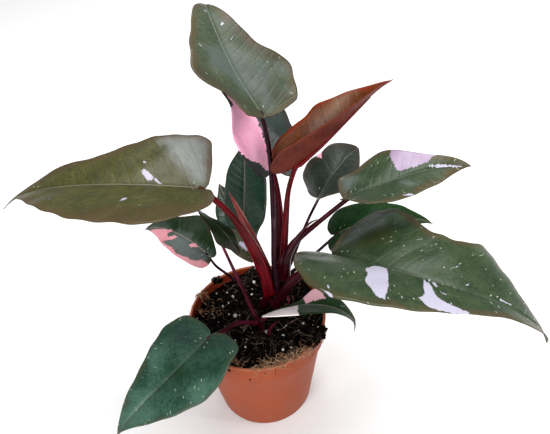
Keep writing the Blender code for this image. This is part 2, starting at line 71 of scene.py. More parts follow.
def new_object(name, data):
    thing = bpy.data.objects.new(name, data)
    bpy.context.scene.collection.objects.link(thing)
    return thing


forward = Vector((0, math.cos(LOOK_DOWN), -math.sin(LOOK_DOWN)))
level_right = Vector((1, 0, 0))
level_up = level_right.cross(forward)
right = level_right * math.cos(LEAN) + level_up * math.sin(LEAN)
up = level_up * math.cos(LEAN) - level_right * math.sin(LEAN)
turned = Matrix((right, up, -forward)).transposed().to_4x4()
camera = new_object("camera", bpy.data.cameras.new("camera"))
camera.data.sensor_width = SENSOR_WIDTH
camera.data.lens = SENSOR_WIDTH * FOCAL_PIXELS / PHOTO_WIDTH
camera.matrix_world = Matrix.Translation(CAMERA_PLACE) @ turned
bpy.context.scene.camera = camera
print("lens:", round(camera.data.lens, 1), "mm")

# %% [markdown]
# ## Sums that read as sums
# A material is a network of nodes. Arithmetic in it is easier to read as Python, so a Wire stands
# for one output, and adding or multiplying Wires adds the Math nodes. Every other node comes from
# one method, add, which takes the node's type, its settings and what goes into its sockets.

# %% A wire and a node network
class Wire:
    """One output of a node network, which can be used in a Python expression."""

    def __init__(self, network, socket):
        self.network = network
        self.socket = socket

    def maths(self, operation, first, second=None):
        return self.network.add("ShaderNodeMath", {"operation": operation}, {0: first, 1: second})

    def __add__(self, other):
        return self.maths("ADD", self, other)

    def __radd__(self, other):
        return self.maths("ADD", other, self)

    def __sub__(self, other):
        return self.maths("SUBTRACT", self, other)

    def __rsub__(self, other):
        return self.maths("SUBTRACT", other, self)

    def __mul__(self, other):
        return self.maths("MULTIPLY", self, other)

    def __rmul__(self, other):
        return self.maths("MULTIPLY", other, self)

    def __abs__(self):
        return self.maths("ABSOLUTE", self)

    def fract(self):
        return self.maths("FRACT", self)

    def step(self, low, high):
        """0 below low, 1 above high and smooth between. With low above high it falls instead."""
        inputs = {0: self, 1: low, 2: high, 3: 0.0, 4: 1.0}
        if low > high:
            inputs = {0: self, 1: high, 2: low, 3: 1.0, 4: 0.0}
        settings = {"interpolation_type": "SMOOTHSTEP"}
        return self.network.add("ShaderNodeMapRange", settings, inputs)


class Network:
    """A node tree, of a material or of Geometry Nodes."""

    def __init__(self, tree):
        self.tree = tree
        tree.nodes.clear()

    def add(self, kind, settings=None, inputs=None, output=0):
        """A node with these settings and inputs. An input that is None is left as it is."""
        node = self.tree.nodes.new(kind)
        for name, value in (settings or {}).items():
            setattr(node, name, value)
        for name, value in (inputs or {}).items():
            if isinstance(value, Wire):
                self.tree.links.new(value.socket, node.inputs[name])
            elif value is not None:
                node.inputs[name].default_value = value
        return Wire(self, node.outputs[output]) if len(node.outputs) else node


print("a Wire and a Network are ready")

# %% [markdown]
# ## Patterns and coats of colour
# A plant's colour is built like paint: a base, and over it one coat after another, each laid on
# only where its share says. The shares come from noise and from what the mesh stores.

# %% A finish, which is a material's network
class Finish(Network):
    """A material's network, with the few patterns that a plant and its pot need."""

    def __init__(self, name):
        self.material = bpy.data.materials.new(name)
        self.material.use_nodes = True
        super().__init__(self.material.node_tree)

    def number(self, name):
        return self.add("ShaderNodeAttribute", {"attribute_name": name}, output=2)

    def vector(self, name):
        return self.add("ShaderNodeAttribute", {"attribute_name": name}, output=1)

    def place(self):
        return self.add("ShaderNodeTexCoord", output=3)

    def part(self, vector, axis):
        """One number of a vector: axis 0 is x, 1 is y and 2 is z."""
        return self.add("ShaderNodeSeparateXYZ", None, {0: vector}, axis)

    def stretch(self, vector, scale):
        return self.add("ShaderNodeVectorMath", {"operation": "MULTIPLY"}, {0: vector, 1: scale})

    def grain(self, vector, scale, detail=2.0, roughness=0.5):
        inputs = {"Vector": vector, "Scale": scale, "Detail": detail, "Roughness": roughness}
        return self.add("ShaderNodeTexNoise", None, inputs)

    def mix(self, share, first, second):
        """Colour first where share is 0, and second where it is 1."""
        first, second = [c if isinstance(c, Wire) else (*c, 1.0) for c in (first, second)]
        inputs = {0: share, 6: first, 7: second}
        return self.add("ShaderNodeMix", {"data_type": "RGBA"}, inputs, 2)

    def paint(self, base, *coats):
        """The base colour with each coat, a share and a colour, laid over what is there."""
        for share, tone in coats:
            base = self.mix(share, base, tone)
        return base

    def bump(self, height, distance, strength):
        inputs = {"Strength": strength, "Distance": distance, "Height": height}
        return self.add("ShaderNodeBump", None, inputs)

    def finish(self, **inputs):
        sockets = {name.replace("_", " "): value for name, value in inputs.items()}
        shader = self.add("ShaderNodeBsdfPrincipled", None, sockets)
        self.add("ShaderNodeOutputMaterial", None, {"Surface": shader})
        return self.material


def times(share, tone):
    """A colour made darker, or lighter where share is above 1."""
    return tuple(share * c for c in tone)


print("half of a warm red:", times(0.5, (0.8, 0.2, 0.1)))

# %% [markdown]
# ## Floor and light
# The plant stands on a pale floor in a plain studio. A dim white room light fills the shadows, and
# four wide, soft lamps do the rest. The one above and a little behind gives some of the leaves
# their grey gloss, and the others stand at the left, in front and at the right.

# %% A pale floor
FLOOR_SIZE = 12.0
FLOOR_DROP = 0.0002


def pale_floor():
    finish = Finish("pale_floor")
    cloudy = finish.grain(finish.place(), 3.0)
    tone = finish.mix(cloudy, (0.86, 0.86, 0.86), (0.90, 0.90, 0.90))
    return finish.finish(Base_Color=tone, Roughness=0.9)


bpy.ops.mesh.primitive_plane_add(size=FLOOR_SIZE, location=(0, 0, -FLOOR_DROP))
floor = bpy.context.object
floor.name = "floor"
floor.data.materials.append(pale_floor())
print("floor:", FLOOR_SIZE, "m wide")

# %% A dim white room
ROOM_LIGHT = 0.32
bpy.context.scene.view_settings.view_transform = "Standard"
world = bpy.data.worlds.new("room")
world.use_nodes = True
bpy.context.scene.world = world
background = world.node_tree.nodes["Background"]
background.inputs["Color"].default_value = (0.97, 0.98, 1.0, 1)
background.inputs["Strength"].default_value = ROOM_LIGHT
print("room light:", ROOM_LIGHT)

# %% Four soft lamps, as place, size and power
LAMPS = {
    "lamp_above": ((0.12, 0.42, 1.40), 0.9, 18),
    "lamp_left": ((-0.90, -1.25, 0.75), 0.7, 15),
    "lamp_front": ((0.1, -1.7, 1.2), 1.4, 16),
    "lamp_right": ((1.15, -0.30, 1.00), 0.5, 11),
}
LAMP_TARGET = Vector((0, 0, 0.15))
for name, (place, size, power) in LAMPS.items():
    lamp = new_object(name, bpy.data.lights.new(name, "AREA"))
    lamp.data.size = size
    lamp.data.energy = power
    lamp.location = place
    lamp.rotation_euler = (LAMP_TARGET - Vector(place)).to_track_quat("-Z", "Y").to_euler()
print("lamps:", ", ".join(LAMPS))

# %% [markdown]
# ## The leaves: numbers first
# A blade is a sheet that bends along its midrib, folds up at it, rolls to one side and ripples at
# its edges. Each leaf is a short list of numbers, in millimetres and degrees. Flat half-widths at
# six places along the midrib and the two base lobes give its outline. The two sheaths are thin
# strips on petioles, and are made as leaves are.

# %% What one leaf is
STATIONS = (0.0, 0.15, 0.32, 0.50, 0.68, 0.86)


@dataclass
class Leaf:
    """One blade, in mm and degrees. left and right are half-widths at STATIONS."""

    name: str
    finish: str
    base: tuple
    length: float
    heading: float
    turn: float
    rise: float
    fall: float
    hook: float
    roll: float
    twist: float
    fold: float
    fold_tip: float
    left: tuple
    right: tuple
    lobes: tuple
    curl: float = 0.10
    wave: float = 1.0
    waves: float = 2.5
    phase: float = 0.0
    veins: float = 8.0


print("places of the half-widths:", STATIONS)

# %% The fifteen leaves and two sheaths
LEAVES = (
    Leaf(
        "blade_top", "grey_green", (23, 20, 299), 115, 128, -30, 32, -4, 58, 21, -6, 29, 12,
        (44, 39, 51, 38, 22, 13), (34, 42, 43, 27, 19, 11), (3, 3), wave=1.5, veins=9,
    ),
    Leaf(
        "blade_right_large", "deep_green", (66, -10, 183), 201, -52, 50, 26, 58, 46, -7, -7, 23, 3,
        (57, 68, 53, 50, 66, 14), (40, 63, 62, 41, 20, 11), (7, 16), curl=0.15, wave=1.5, veins=11,
    ),
    Leaf(
        "blade_left_large", "olive_green", (-26, 0, 254), 178, 178, -17, 12, 31, 32, 3, 6, 19, 7,
        (41, 65, 60, 53, 30, 4), (53, 57, 50, 30, 28, 4), (7, 4), wave=1.2, waves=2.0, veins=11,
    ),
    Leaf(
        "blade_right_marbled", "deep_green", (81, 25, 210), 108, 4, 3, 19, 14, 30, -25, 52, 18, 5,
        (35, 31, 39, 29, 14, 7), (27, 41, 38, 27, 18, 7), (3, 3),
    ),
    Leaf(
        "blade_right_back", "night_green", (63, 67, 178), 66, 39, 12, 41, 43, 29, -41, 77, 14, 13,
        (28, 36, 34, 23, 20, 8), (26, 40, 29, 22, 14, 6), (3, 3),
    ),
    Leaf(
        "blade_front_left", "blue_green", (-38, -38, 131), 114, 228, -32, -4, 42, 8, 2, -11, 13, 7,
        (35, 38, 43, 33, 21, 7), (32, 36, 33, 25, 19, 9), (6, 5), veins=9,
    ),
    Leaf(
        "blade_right_hidden", "front_green", (76, 60, 137), 96, 1, 3, 31, 62, 4, -4, 5, 6, 9,
        (28, 30, 28, 21, 17, 6), (28, 30, 29, 24, 15, 6), (6, 8),
    ),
    Leaf(
        "blade_pink", "half_pink", (23, 40, 248), 91, 112, 18, 54, 23, 1, 27, 1, 17, 6,
        (32, 39, 33, 24, 24, 7), (37, 35, 33, 29, 18, 7), (15, 22), veins=7,
    ),
    Leaf(
        "blade_new_rolled", "new_bronze", (40, 15, 254), 100, 8, 3, 33, -23, 36, -6, 1, 62, 40,
        (22, 23, 22, 22, 15, 5), (25, 26, 23, 18, 13, 5), (12, 13), curl=-0.09, wave=0.3, veins=6,
    ),
    Leaf(
        "blade_back_upright", "back_green", (-6, 54, 156), 87, 58, 21, 75, 8, -2, -18, 7, 18, 6,
        (18, 20, 21, 18, 16, 6), (26, 23, 29, 25, 22, 5), (7, 7), veins=7,
    ),
    Leaf(
        "blade_back_left", "back_green", (-6, 74, 121), 64, 130, -20, 66, 30, 0, 6, 0, 16, 5,
        (10, 14, 17, 18, 13, 5), (10, 14, 16, 16, 12, 5), (4, 4), veins=6,
    ),
    Leaf(
        "blade_left_folded", "dark_olive", (-33, 30, 202), 46, -42, -1, -14, 53, -4, -55, 37, 1, 1,
        (19, 20, 20, 16, 10, 4), (19, 19, 19, 20, 13, 4), (5, 5), wave=0.6, veins=5,
    ),
    Leaf(
        "blade_left_pink_edge", "two_green", (-38, 45, 139), 81, 144, 1, 39, 76, 3, -9, -9, 8, 9,
        (16, 20, 20, 17, 10, 4), (9, 17, 27, 17, 10, 4), (5, 4), wave=0.6, veins=6,
    ),
    Leaf(
        "blade_left_small", "grey_green", (2, 28, 150), 48, 172, -8, 55, 10, 0, -40, 0, 30, 10,
        (7, 9, 10, 9, 7, 3), (7, 9, 10, 9, 7, 3), (2, 2), wave=0.4, veins=5,
    ),
    Leaf(
        "blade_front_right", "front_green", (7, -12, 119), 106, 12, -15, 17, 79, 43, -43, 59, 2, 9,
        (2, 3, 7, 27, 12, 3), (12, 23, 21, 13, 7, 3), (1, 2), wave=0.6, veins=6,
    ),
)
SHEATH = Leaf(
    "sheath_left_large", "sheath_pink", (15.6, 14.2, 140), 101, 180, 0, 76, 2, 0, -88, 0, 2, 12,
    (2, 3, 3.2, 3.2, 2.8, 1.6), (2, 3, 3.2, 3.2, 2.8, 1.6), (1, 1), wave=0.3, veins=20,
)
SMALL_SHEATH = Leaf(
    "sheath_right_marbled", "stem_red", (33, 10.6, 174), 35, 20, 0, 49, 2, 62, -60, 0, 2, 12,
    (2.2, 3, 3.2, 2.8, 2, 1.2), (2.2, 3, 3.2, 2.8, 2, 1.2), (1, 1), wave=0.3, veins=10,
)
print("leaves:", len(LEAVES))

# %% [markdown]
# ## From numbers to a curved sheet
# The midrib is walked in sixty short steps, turning and falling as it goes. A point of the blade
# then lies a little to the left or right of it, lifted by the fold and by the curl and ripple of
# the edge. numpy does this for a whole row of points at once.

# %% Walk the midrib and place points beside it
MIDRIB_SAMPLES = 60
HOOK_POWER = 5


def unit(vectors):
    return vectors / np.linalg.norm(vectors, axis=-1, keepdims=True)


def smooth_line(points, steps):
    """A Catmull-Rom curve through the points, with this many steps in each span."""
    points = np.asarray(points, float)
    ends = np.vstack([2 * points[0] - points[1], points, 2 * points[-1] - points[-2]])
    t = (np.arange(steps) / steps)[:, None]
    spans = []
    for before, start, end, after in zip(ends, ends[1:], ends[2:], ends[3:]):
        spans.append(
            start
            + 0.5 * t * (end - before)
            + t**2 * (before - 2.5 * start + 2 * end - 0.5 * after)
            + 0.5 * t**3 * (3 * start - before - 3 * end + after)
        )
    return np.vstack(spans + [points[-1:]])


def midrib_frames(leaf, along):
    """Points on the midrib at these distances, with the directions along, to the left and up."""
    t = np.arange(MIDRIB_SAMPLES + 1) / MIDRIB_SAMPLES
    slope = np.radians(leaf.rise - leaf.fall * t - leaf.hook * t**HOOK_POWER)
    heading = np.radians(leaf.heading + leaf.turn * t)
    ahead = np.stack(
        [np.cos(slope) * np.cos(heading), np.cos(slope) * np.sin(heading), np.sin(slope)], -1
    )
    steps = (ahead[1:] + ahead[:-1]) / 2 * leaf.length / MIDRIB_SAMPLES
    points = np.vstack([np.zeros(3), np.cumsum(steps, 0)])
    at = np.clip(along / leaf.length, 0, 1)
    place = np.stack([np.interp(at, t, points[:, k]) for k in range(3)], -1)
    ahead = unit(np.stack([np.interp(at, t, ahead[:, k]) for k in range(3)], -1))
    place = place + ahead * np.minimum(along, 0)[..., None]
    turned_to = np.interp(at, t, heading)
    level = np.stack([-np.sin(turned_to), np.cos(turned_to), np.zeros_like(turned_to)], -1)
    above = np.cross(ahead, level)
    roll = np.radians(leaf.roll + leaf.twist * at)[..., None]
    left = level * np.cos(roll) + above * np.sin(roll)
    up = above * np.cos(roll) - level * np.sin(roll)
    return place + np.array(leaf.base, float), ahead, left, up, at


def blade_points(leaf, along, across, relief=0.0):
    """Points of the blade's middle surface. across is positive on the left half."""
    place, _, left, up, at = midrib_frames(leaf, along)
    width = max(leaf.left + leaf.right)
    out = np.abs(across)
    fold = np.radians(leaf.fold + (leaf.fold_tip - leaf.fold) * at)
    ripple = np.sin(
        2 * math.pi * (leaf.waves * along / leaf.length + leaf.phase) + np.where(across > 0, 0, 2)
    )
    edge = (out / width) ** 2
    rise = out * np.sin(fold) + edge * (leaf.wave * ripple - leaf.curl * width) + relief
    sideways = out * np.cos(fold) * np.sign(across)
    return place + left * sideways[..., None] + up * rise[..., None]


largest = LEAVES[1]
tip = midrib_frames(largest, np.array([largest.length]))[0][0]
print("the midrib of the largest leaf ends at", tip.round(), "mm")

# %% [markdown]
# ## Rows that are veins
# The side veins of a philodendron leave the midrib at a slant and curve towards the tip, and at the
# base they fan out from the petiole. If the rows of the mesh follow them, every fifth row can sink
# a little, and the veins are real grooves in the mesh with no extra faces.

# %% Draw the margin of a flat blade
LOBE_OUTLINE = ((-0.60, 0.08), (-1, 0.38), (-0.66, 0.74), (0, 0.95))
MARGIN_STEPS = 16
ROUNDING = 40
EDGE_WAVE, LONG_WAVE, SHORT_WAVE = 0.012, 0.16, 0.31


def margin(leaf, half_widths, lobe):
    """One half's edge in the flat blade, from beside the petiole, round the lobe, to the tip."""
    first = half_widths[0]
    points = [(back * lobe, out * first) for back, out in LOBE_OUTLINE]
    points += [(at * leaf.length, wide) for at, wide in zip(STATIONS[1:], half_widths[1:])]
    points.append((leaf.length, 0))
    edge = smooth_line(points, MARGIN_STEPS)
    for _ in range(ROUNDING):
        edge[1:-1] = (edge[:-2] + 2 * edge[1:-1] + edge[2:]) / 4
    wavy = np.sin(LONG_WAVE * edge[:, 0] + sum(leaf.base))
    wavy = wavy + np.sin(SHORT_WAVE * edge[:, 0] + 2 * first)
    edge[:, 1] *= 1 + EDGE_WAVE * wavy
    return edge


def walked_along(line):
    """How far each point of a line is from its start."""
    return np.concatenate([[0], np.cumsum(np.linalg.norm(np.diff(line, axis=0), axis=1))])


edge = margin(largest, largest.left, largest.lobes[0])
print("its left margin is", walked_along(edge)[-1].round(), "mm long")

# %% Lay the rows of a blade along its veins
ROWS_PER_VEIN = 5
VEIN_SLANT = 0.55
FAN_SPREAD = 1.15
COLUMN_SPACING = 1.9
COLUMN_EASE = 1.15
VEIN_BEND = 0.35


def vein_rows(leaf, edge):
    """For each row: where it starts on the midrib, and where it meets the edge."""
    walked = walked_along(edge)
    reach = np.maximum.accumulate(edge[:, 0] - VEIN_SLANT * edge[:, 1])
    fan_end = np.interp(0, reach, walked)
    fan_count = ROWS_PER_VEIN * max(2, round(fan_end / (FAN_SPREAD * leaf.veins)))
    body_count = ROWS_PER_VEIN * round(leaf.length / leaf.veins)
    body = np.arange(body_count) * leaf.length / body_count
    starts = np.concatenate([np.zeros(fan_count), body])
    walks = np.linspace(0, fan_end, fan_count + 1)[:-1]
    walks = np.concatenate([walks, np.interp(body, reach, walked)])
    ends = [np.interp(walks, walked, edge[:, k]) for k in range(2)]
    return np.stack([starts, *ends], -1), fan_count


def flat_blade(leaf, side):
    """The flat grid of one half: along, across, the vein number and the distance to the edge."""
    half_widths, lobe = (leaf.left, leaf.lobes[0]) if side > 0 else (leaf.right, leaf.lobes[1])
    edge = margin(leaf, half_widths, lobe)
    rows, fan_count = vein_rows(leaf, edge)
    columns = max(6, round(max(half_widths) / COLUMN_SPACING))
    share = (np.arange(columns + 1) / columns) ** COLUMN_EASE
    bend = VEIN_BEND * np.minimum(1, np.arange(len(rows)) / fan_count)[:, None]
    along = rows[:, :1] + (rows[:, 1:2] - rows[:, :1]) * ((1 - bend) * share + bend * share**2)
    across = rows[:, 2:] * share
    vein = (np.arange(len(rows)) - fan_count)[:, None] / ROWS_PER_VEIN + 0 * share
    points = np.stack([along, across], -1).reshape(-1, 1, 2)
    to_edge = np.linalg.norm(points - edge[None, ::2], axis=2).min(1).reshape(along.shape)
    return along, across, vein, to_edge, share


print("rows of the largest leaf:", len(flat_blade(largest, 1)[0]))

# %% [markdown]
# ## Where a leaf is pink, dark or pale
# The pink and white patches come from cells with no chlorophyll. They have crisp edges that follow
# the veins, and each leaf has its own. A patch is an outline in the flat blade, and each point of
# the mesh stores how far it is inside. The material cuts that distance at zero, after a little
# noise, so the edge is sharp and lively, however large the faces are. The same outlines, with a
# soft edge, say where a leaf is darker or lighter, and where it has a grey bloom with a painted
# sheen. One dark patch is a painted shadow in a crease.

# %% What one patch is
# A bloom patch lays a pale grey coat: a grey bloom and a painted sheen together.
KINDS = ("pink", "white", "bloom", "dark", "light")


@dataclass
class Patch:
    """A patch of one kind: its outline as (along, across) in mm, positive on the left.

    grow widens it, so an outline of two points is a dash. Below 0 it makes the patch smaller.
    """

    kind: str
    outline: tuple
    grow: float = 0.0


print("kinds of patch:", ", ".join(KINDS))

# %% The patches of each leaf
PATCHES = {
    "blade_right_large": (
        Patch("white", (
            (46, -14), (47, -4), (52, 0), (57, -2), (62, -10), (66, -18), (70, -28), (72, -38),
            (74, -48), (70, -48), (65, -44), (57, -35), (53, -24),
        )),
        Patch("white", (
            (86, -1), (94, -12), (98, -22), (103, -26), (112, -27), (120, -28), (116, -33),
            (107, -36), (98, -38), (94, -36), (90, -31), (91, -24), (88, -12),
        )),
        Patch("white", ((90, 0), (96, -8)), 1.0),
        Patch("white", ((102, 18), (106, 22)), 0.6),
        Patch("white", ((116, 6), (118, 8)), 0.6),
        Patch("white", ((100, -14), (104, -16)), 0.6),
        Patch("white", ((60, 0), (64, -2)), 0.5),
        Patch("white", ((40, -55), (44, -58)), 0.6),
        Patch("white", ((142, 4), (150, 4)), 0.6),
        Patch("white", ((42, -62), (50, -65)), 1.2),
        Patch("bloom", ((-14, -26), (-4, -62), (16, -60), (10, -34), (0, -18)), -4.0),
        Patch("bloom", ((4, 6), (-4, 26), (-8, 58), (24, 62), (30, 39), (14, 16)), -3.0),
        Patch("dark", ((42, 36), (34, 44), (18, 36), (14, 14), (26, 8), (40, 22)), -1.0),
        Patch("dark", ((84, -66), (30, -66), (20, -58), (34, -54), (60, -55), (84, -46))),
        Patch("light", ((136, 72), (138, 58), (120, 50), (96, 56), (100, 74)), -1.0),
        Patch("light", ((26, 66), (48, 64), (42, 50), (26, 48)), -1.0),
    ),
    "blade_right_marbled": (
        Patch("pink", (
            (52, 36), (64, 36), (74, 22), (84, 13), (78, 10), (72, 7), (60, 5.5), (53, 6), (48, 8),
            (47, 12), (47, 24),
        )),
        Patch("white", ((71, 3.2), (84, 1.6), (98, -2), (92, -2.6), (80, -0.4)), 0.1),
        Patch("white", ((44, -29), (50, -28.5)), 0.8),
        Patch("bloom", ((1, 38), (10, 34), (16, 19), (8, 8), (0, 5), (-3, 16))),
        Patch("bloom", ((40, -2), (51, -11), (62, -14), (50, -17)), -1.0),
    ),
    "blade_pink": (
        Patch("pink", (
            (-13, 3), (-8, 12), (-2, 17), (1, 24), (6, 32), (11, 37), (14, 48), (38, 40), (45, 21),
            (58, 22), (64, 34), (95, 12), (95, 0.8), (60, -1.5), (32, -2.5), (0, -0.6),
        )),
    ),
    "blade_front_right": (
        Patch("white", (
            (-4, 1), (10, -0.8), (30, -0.8), (28, -9), (26, -17), (28, -32), (-4, -32),
        )),
        Patch("pink", ((40, 26), (46, 28), (53, 26), (57, 16), (57, 10), (38, 1), (37, 14))),
    ),
    "blade_left_large": (
        Patch("white", (
            (50, -16), (46, -14), (42, -10), (38, -7), (33, -1), (39, -4), (41, -7), (40, -2),
            (44, -5), (48, -10),
        )),
        Patch("white", ((55, 34), (53, 28)), 0.7),
        Patch("white", ((50, -23), (48, -22)), 0.5),
        Patch("dark", (
            (4, 36), (16, 28), (40, 38), (70, 36), (90, 46), (80, 64), (30, 66), (4, 54),
        ), -2.0),
        Patch("dark", ((146, -14), (110, -22), (70, -38), (54, -50), (60, -66), (150, -40))),
        Patch("bloom", (
            (42, -56), (24, -64), (4, -68), (-10, -40), (-4, -12), (2, -2), (8, -4), (21, -21),
            (34, -37),
        )),
    ),
    "blade_left_pink_edge": (
        Patch("pink", (
            (47, 13), (40, 15.5), (31, 15.5), (25, 18), (19, 17.5), (14, 15.5), (8, 14.5), (2, 8),
            (-5, 6), (-8, 12), (2, 26), (20, 30), (40, 26), (52, 14),
        )),
        Patch("pink", (
            (66, 4), (58, 2), (43, -1), (44, 4), (42, 7), (34, 3), (36, 8), (42, 13), (50, 18),
            (84, 8),
        )),
        Patch("pink", ((22, 5), (18, 0), (12, 0), (17, 4.5))),
        Patch("bloom", ((0, 1), (81, 0), (60, 16), (40, 19), (20, 22), (0, 18), (-5, 8)), 2.0),
    ),
    "blade_left_small": (Patch("white", ((20, -2), (12, -12), (7, -10), (9, 1), (18, 1))),),
    "blade_top": (
        Patch("white", ((67, -8), (70, -12)), 0.8),
        Patch("white", ((100, 3), (98, 2)), 0.6),
        Patch("white", ((63, 24), (62, 23)), 0.6),
        Patch("white", ((84, -7), (82, -6)), 0.6),
        Patch("bloom", ((66, -4), (50, -14), (30, -16), (14, -4), (20, 6), (46, 26), (60, 22))),
        Patch("bloom", ((52, -6), (30, -4), (4, -1), (2, -12), (20, -22), (38, -30)), -2.0),
        Patch("dark", (
            (-6, -2), (-4, 30), (14, 48), (44, 60), (47, 38), (30, 30), (18, 18), (6, 0),
        )),
        Patch("dark", ((96, -14), (80, -10), (56, -19), (38, -28), (34, -50), (80, -40))),
        # A painted shadow in the crease of the right base lobe.
        Patch("dark", ((24, -14), (20, -25), (2, -34), (-4, -26), (8, -12)), -2.0),
        Patch("light", ((36, -29), (28, -28), (22, -33), (24, -44), (36, -44)), -1.0),
    ),
    # On the rolled new leaf the bloom patch is a painted reflection, a pale band on the inside of
    # the roll.
    "blade_new_rolled": (Patch("bloom", ((26, 9), (44, 12), (60, 14), (76, 13)), 2.0),),
    "blade_right_back": (Patch("pink", ((33, 27), (37, 23), (32, 19), (31, 22)), 0.3),),
    "blade_front_left": (
        Patch("bloom", (
            (16, -32), (0, -26), (6, -4), (2, 6), (-8, 24), (4, 30), (18, 2), (28, -20),
        ), -2.0),
        Patch("dark", ((47, -2), (45, 10), (36, 13), (33, 4), (38, -5)), 1.0),
        Patch("light", ((110, -10), (84, -18), (66, -6), (70, 22), (90, 20)), -1.0),
        Patch("light", ((20, 40), (32, 26), (50, 28), (62, 36), (44, 48)), -1.0),
        Patch("light", ((46, -36), (28, -24), (34, -10), (58, -14)), -2.0),
    ),
}
print("leaves with patches:", len(PATCHES))

# %% How far inside a patch a point is
FAR_OUTSIDE = -40.0
SQUARE = ((0, 0), (10, 0), (10, 10), (0, 10))


def depth_inside(points, outline):
    """How far each point is inside the outline, in mm. It is negative outside."""
    ring = np.asarray(outline, float)
    nearest = np.full(len(points), np.inf)
    inside = np.zeros(len(points), bool)
    for start, end in zip(ring, np.roll(ring, -1, axis=0)):
        span = end - start
        t = np.clip((points - start) @ span / max(span @ span, 1e-9), 0, 1)
        nearest = np.minimum(nearest, np.linalg.norm(points - start - t[:, None] * span, axis=1))
        crosses = (start[1] > points[:, 1]) != (end[1] > points[:, 1])
        height = end[1] - start[1] if end[1] != start[1] else 1e-9
        inside ^= crosses & (points[:, 0] < start[0] + (points[:, 1] - start[1]) * span[0] / height)
    return np.where(inside, nearest, -nearest)


def patch_depth(leaf, kind, along, across):
    """How far each point is inside the leaf's patches of one kind, in mm."""
    points = np.stack([along.ravel(), across.ravel()], -1)
    depth = np.full(len(points), FAR_OUTSIDE)
    for patch in PATCHES.get(leaf.name, ()):
        if patch.kind == kind:
            depth = np.maximum(depth, depth_inside(points, patch.outline) + patch.grow)
    return depth


print("the middle of a 10 mm square is", depth_inside(np.array([[5, 5]]), SQUARE)[0], "mm inside")

# %% [markdown]
# ## Make a blade
# Both halves are laid out, joined at the midrib and given a thickness by a Solidify modifier, whose
# second material is the underside. The modifier is then applied, because a finished piece is a
# plain mesh.

# %% Keep what a piece is made of
made = []


def store(mesh, name, kind, values):
    attribute = mesh.attributes.new(name, kind, "POINT")
    field_name = "vector" if kind == "FLOAT_VECTOR" else "value"
    attribute.data.foreach_set(field_name, np.asarray(values, np.float32).ravel())


def new_mesh(name, points, edges, faces):
    """A mesh from points in mm."""
    mesh = bpy.data.meshes.new(name)
    mesh.from_pydata([tuple(np.asarray(p, float) * MM) for p in points], edges, faces)
    return mesh


def add_piece(name, mesh, slot, replaced=()):
    """A piece, with its slot, which is kept but not used, and the CAD nodes that it stands for."""
    piece = new_object(name, mesh)
    made.append((piece, slot, replaced))
    return piece


def apply_modifiers(piece):
    graph = bpy.context.evaluated_depsgraph_get()
    mesh = bpy.data.meshes.new_from_object(piece.evaluated_get(graph))
    piece.modifiers.clear()
    piece.data = mesh


print("pieces so far:", len(made))

# %% The curved sheet of a blade
VEIN_DEPTH, VEIN_START, VEIN_THINNING = 0.15, 6, 0.6
MIDRIB_DEPTH, MIDRIB_WIDTH = 0.75, 1.5
SWELL_START = 12
HAIR = 1e-9
SEAM, SLIVER = 0.00003, 0.00001


def gentle_swell(leaf, along, across):
    """The slight quilting of a real blade, in mm."""
    seed = sum(leaf.base)
    swell = np.sin(0.11 * along + seed) * np.sin(0.13 * across + 2 * seed)
    return 0.45 * swell + 0.25 * np.sin(0.21 * along - 0.17 * across + seed)


def close_seams(mesh):
    tidy = bmesh.new()
    tidy.from_mesh(mesh)
    bmesh.ops.remove_doubles(tidy, verts=tidy.verts, dist=SEAM)
    bmesh.ops.dissolve_degenerate(tidy, edges=tidy.edges, dist=SLIVER)
    tidy.to_mesh(mesh)
    tidy.free()


def blade_mesh(leaf):
    """Both halves of the blade as one sheet, with what its material reads."""
    points, faces = [], []
    kept = {name: [] for name in ("blade", "vein", "edge") + KINDS}
    for side in (1, -1):
        along, across, vein, to_edge, share = flat_blade(leaf, side)
        sunk = np.exp(-(((vein - np.round(vein)) * leaf.veins) ** 2))
        fade = np.minimum(1, across / VEIN_START) * (1 - VEIN_THINNING * share)
        groove = MIDRIB_DEPTH * np.exp(-((across / MIDRIB_WIDTH) ** 2))
        relief = -VEIN_DEPTH * sunk * fade - groove
        swell = gentle_swell(leaf, along, side * across)
        relief = relief + swell * np.minimum(1, across / SWELL_START)
        first, tip = len(points), len(points) + along.size
        # A hair's breadth off the midrib, so that each point there still knows its side.
        points.extend(blade_points(leaf, along, side * (across + HAIR), relief).reshape(-1, 3))
        points.append(blade_points(leaf, np.array([leaf.length]), np.zeros(1))[0])
        flat = np.stack([along, side * across, 0 * along], -1)
        grids = {"blade": flat, "vein": vein, "edge": to_edge}
        for kind in KINDS:
            grids[kind] = patch_depth(leaf, kind, along, side * across)
        at_tip = {"blade": (leaf.length, 0, 0), "vein": vein[-1, 0], "edge": 0}
        for name, grid in grids.items():
            values = grid.reshape(-1, 3) if name == "blade" else grid.ravel()
            kept[name].extend(values)
            kept[name].append(at_tip.get(name, values[-1]))
        rows, columns = along.shape
        for i in range(rows):
            for j in range(columns - 1):
                here = first + i * columns + j
                corners = [here, here + 1, here + columns + 1, here + columns]
                if i == rows - 1:
                    corners = [here, here + 1, tip]
                faces.append(corners if side < 0 else corners[::-1])
    mesh = new_mesh(leaf.name + "_leaf", points, [], faces)
    for name, values in kept.items():
        store(mesh, name, "FLOAT_VECTOR" if name == "blade" else "FLOAT", values)
    close_seams(mesh)
    return mesh


print("depth of a vein and of the midrib:", VEIN_DEPTH, MIDRIB_DEPTH, "mm")

# %% Give a sheet its thickness
BLADE_THICKNESS = 0.7


def thick_sheet(name, mesh, slot, finishes, replaced):
    """A piece from a sheet. The second finish, where there is one, is for the underside."""
    for finish in finishes:
        mesh.materials.append(finish)
    piece = add_piece(name, mesh, slot, replaced)
    solid = piece.modifiers.new("thickness", "SOLIDIFY")
    solid.thickness = BLADE_THICKNESS * MM
    solid.offset = 0
    solid.use_even_offset = False
    solid.material_offset = len(finishes) - 1
    apply_modifiers(piece)
    piece.data.shade_smooth()
    print(name, len(piece.data.polygons), "faces")


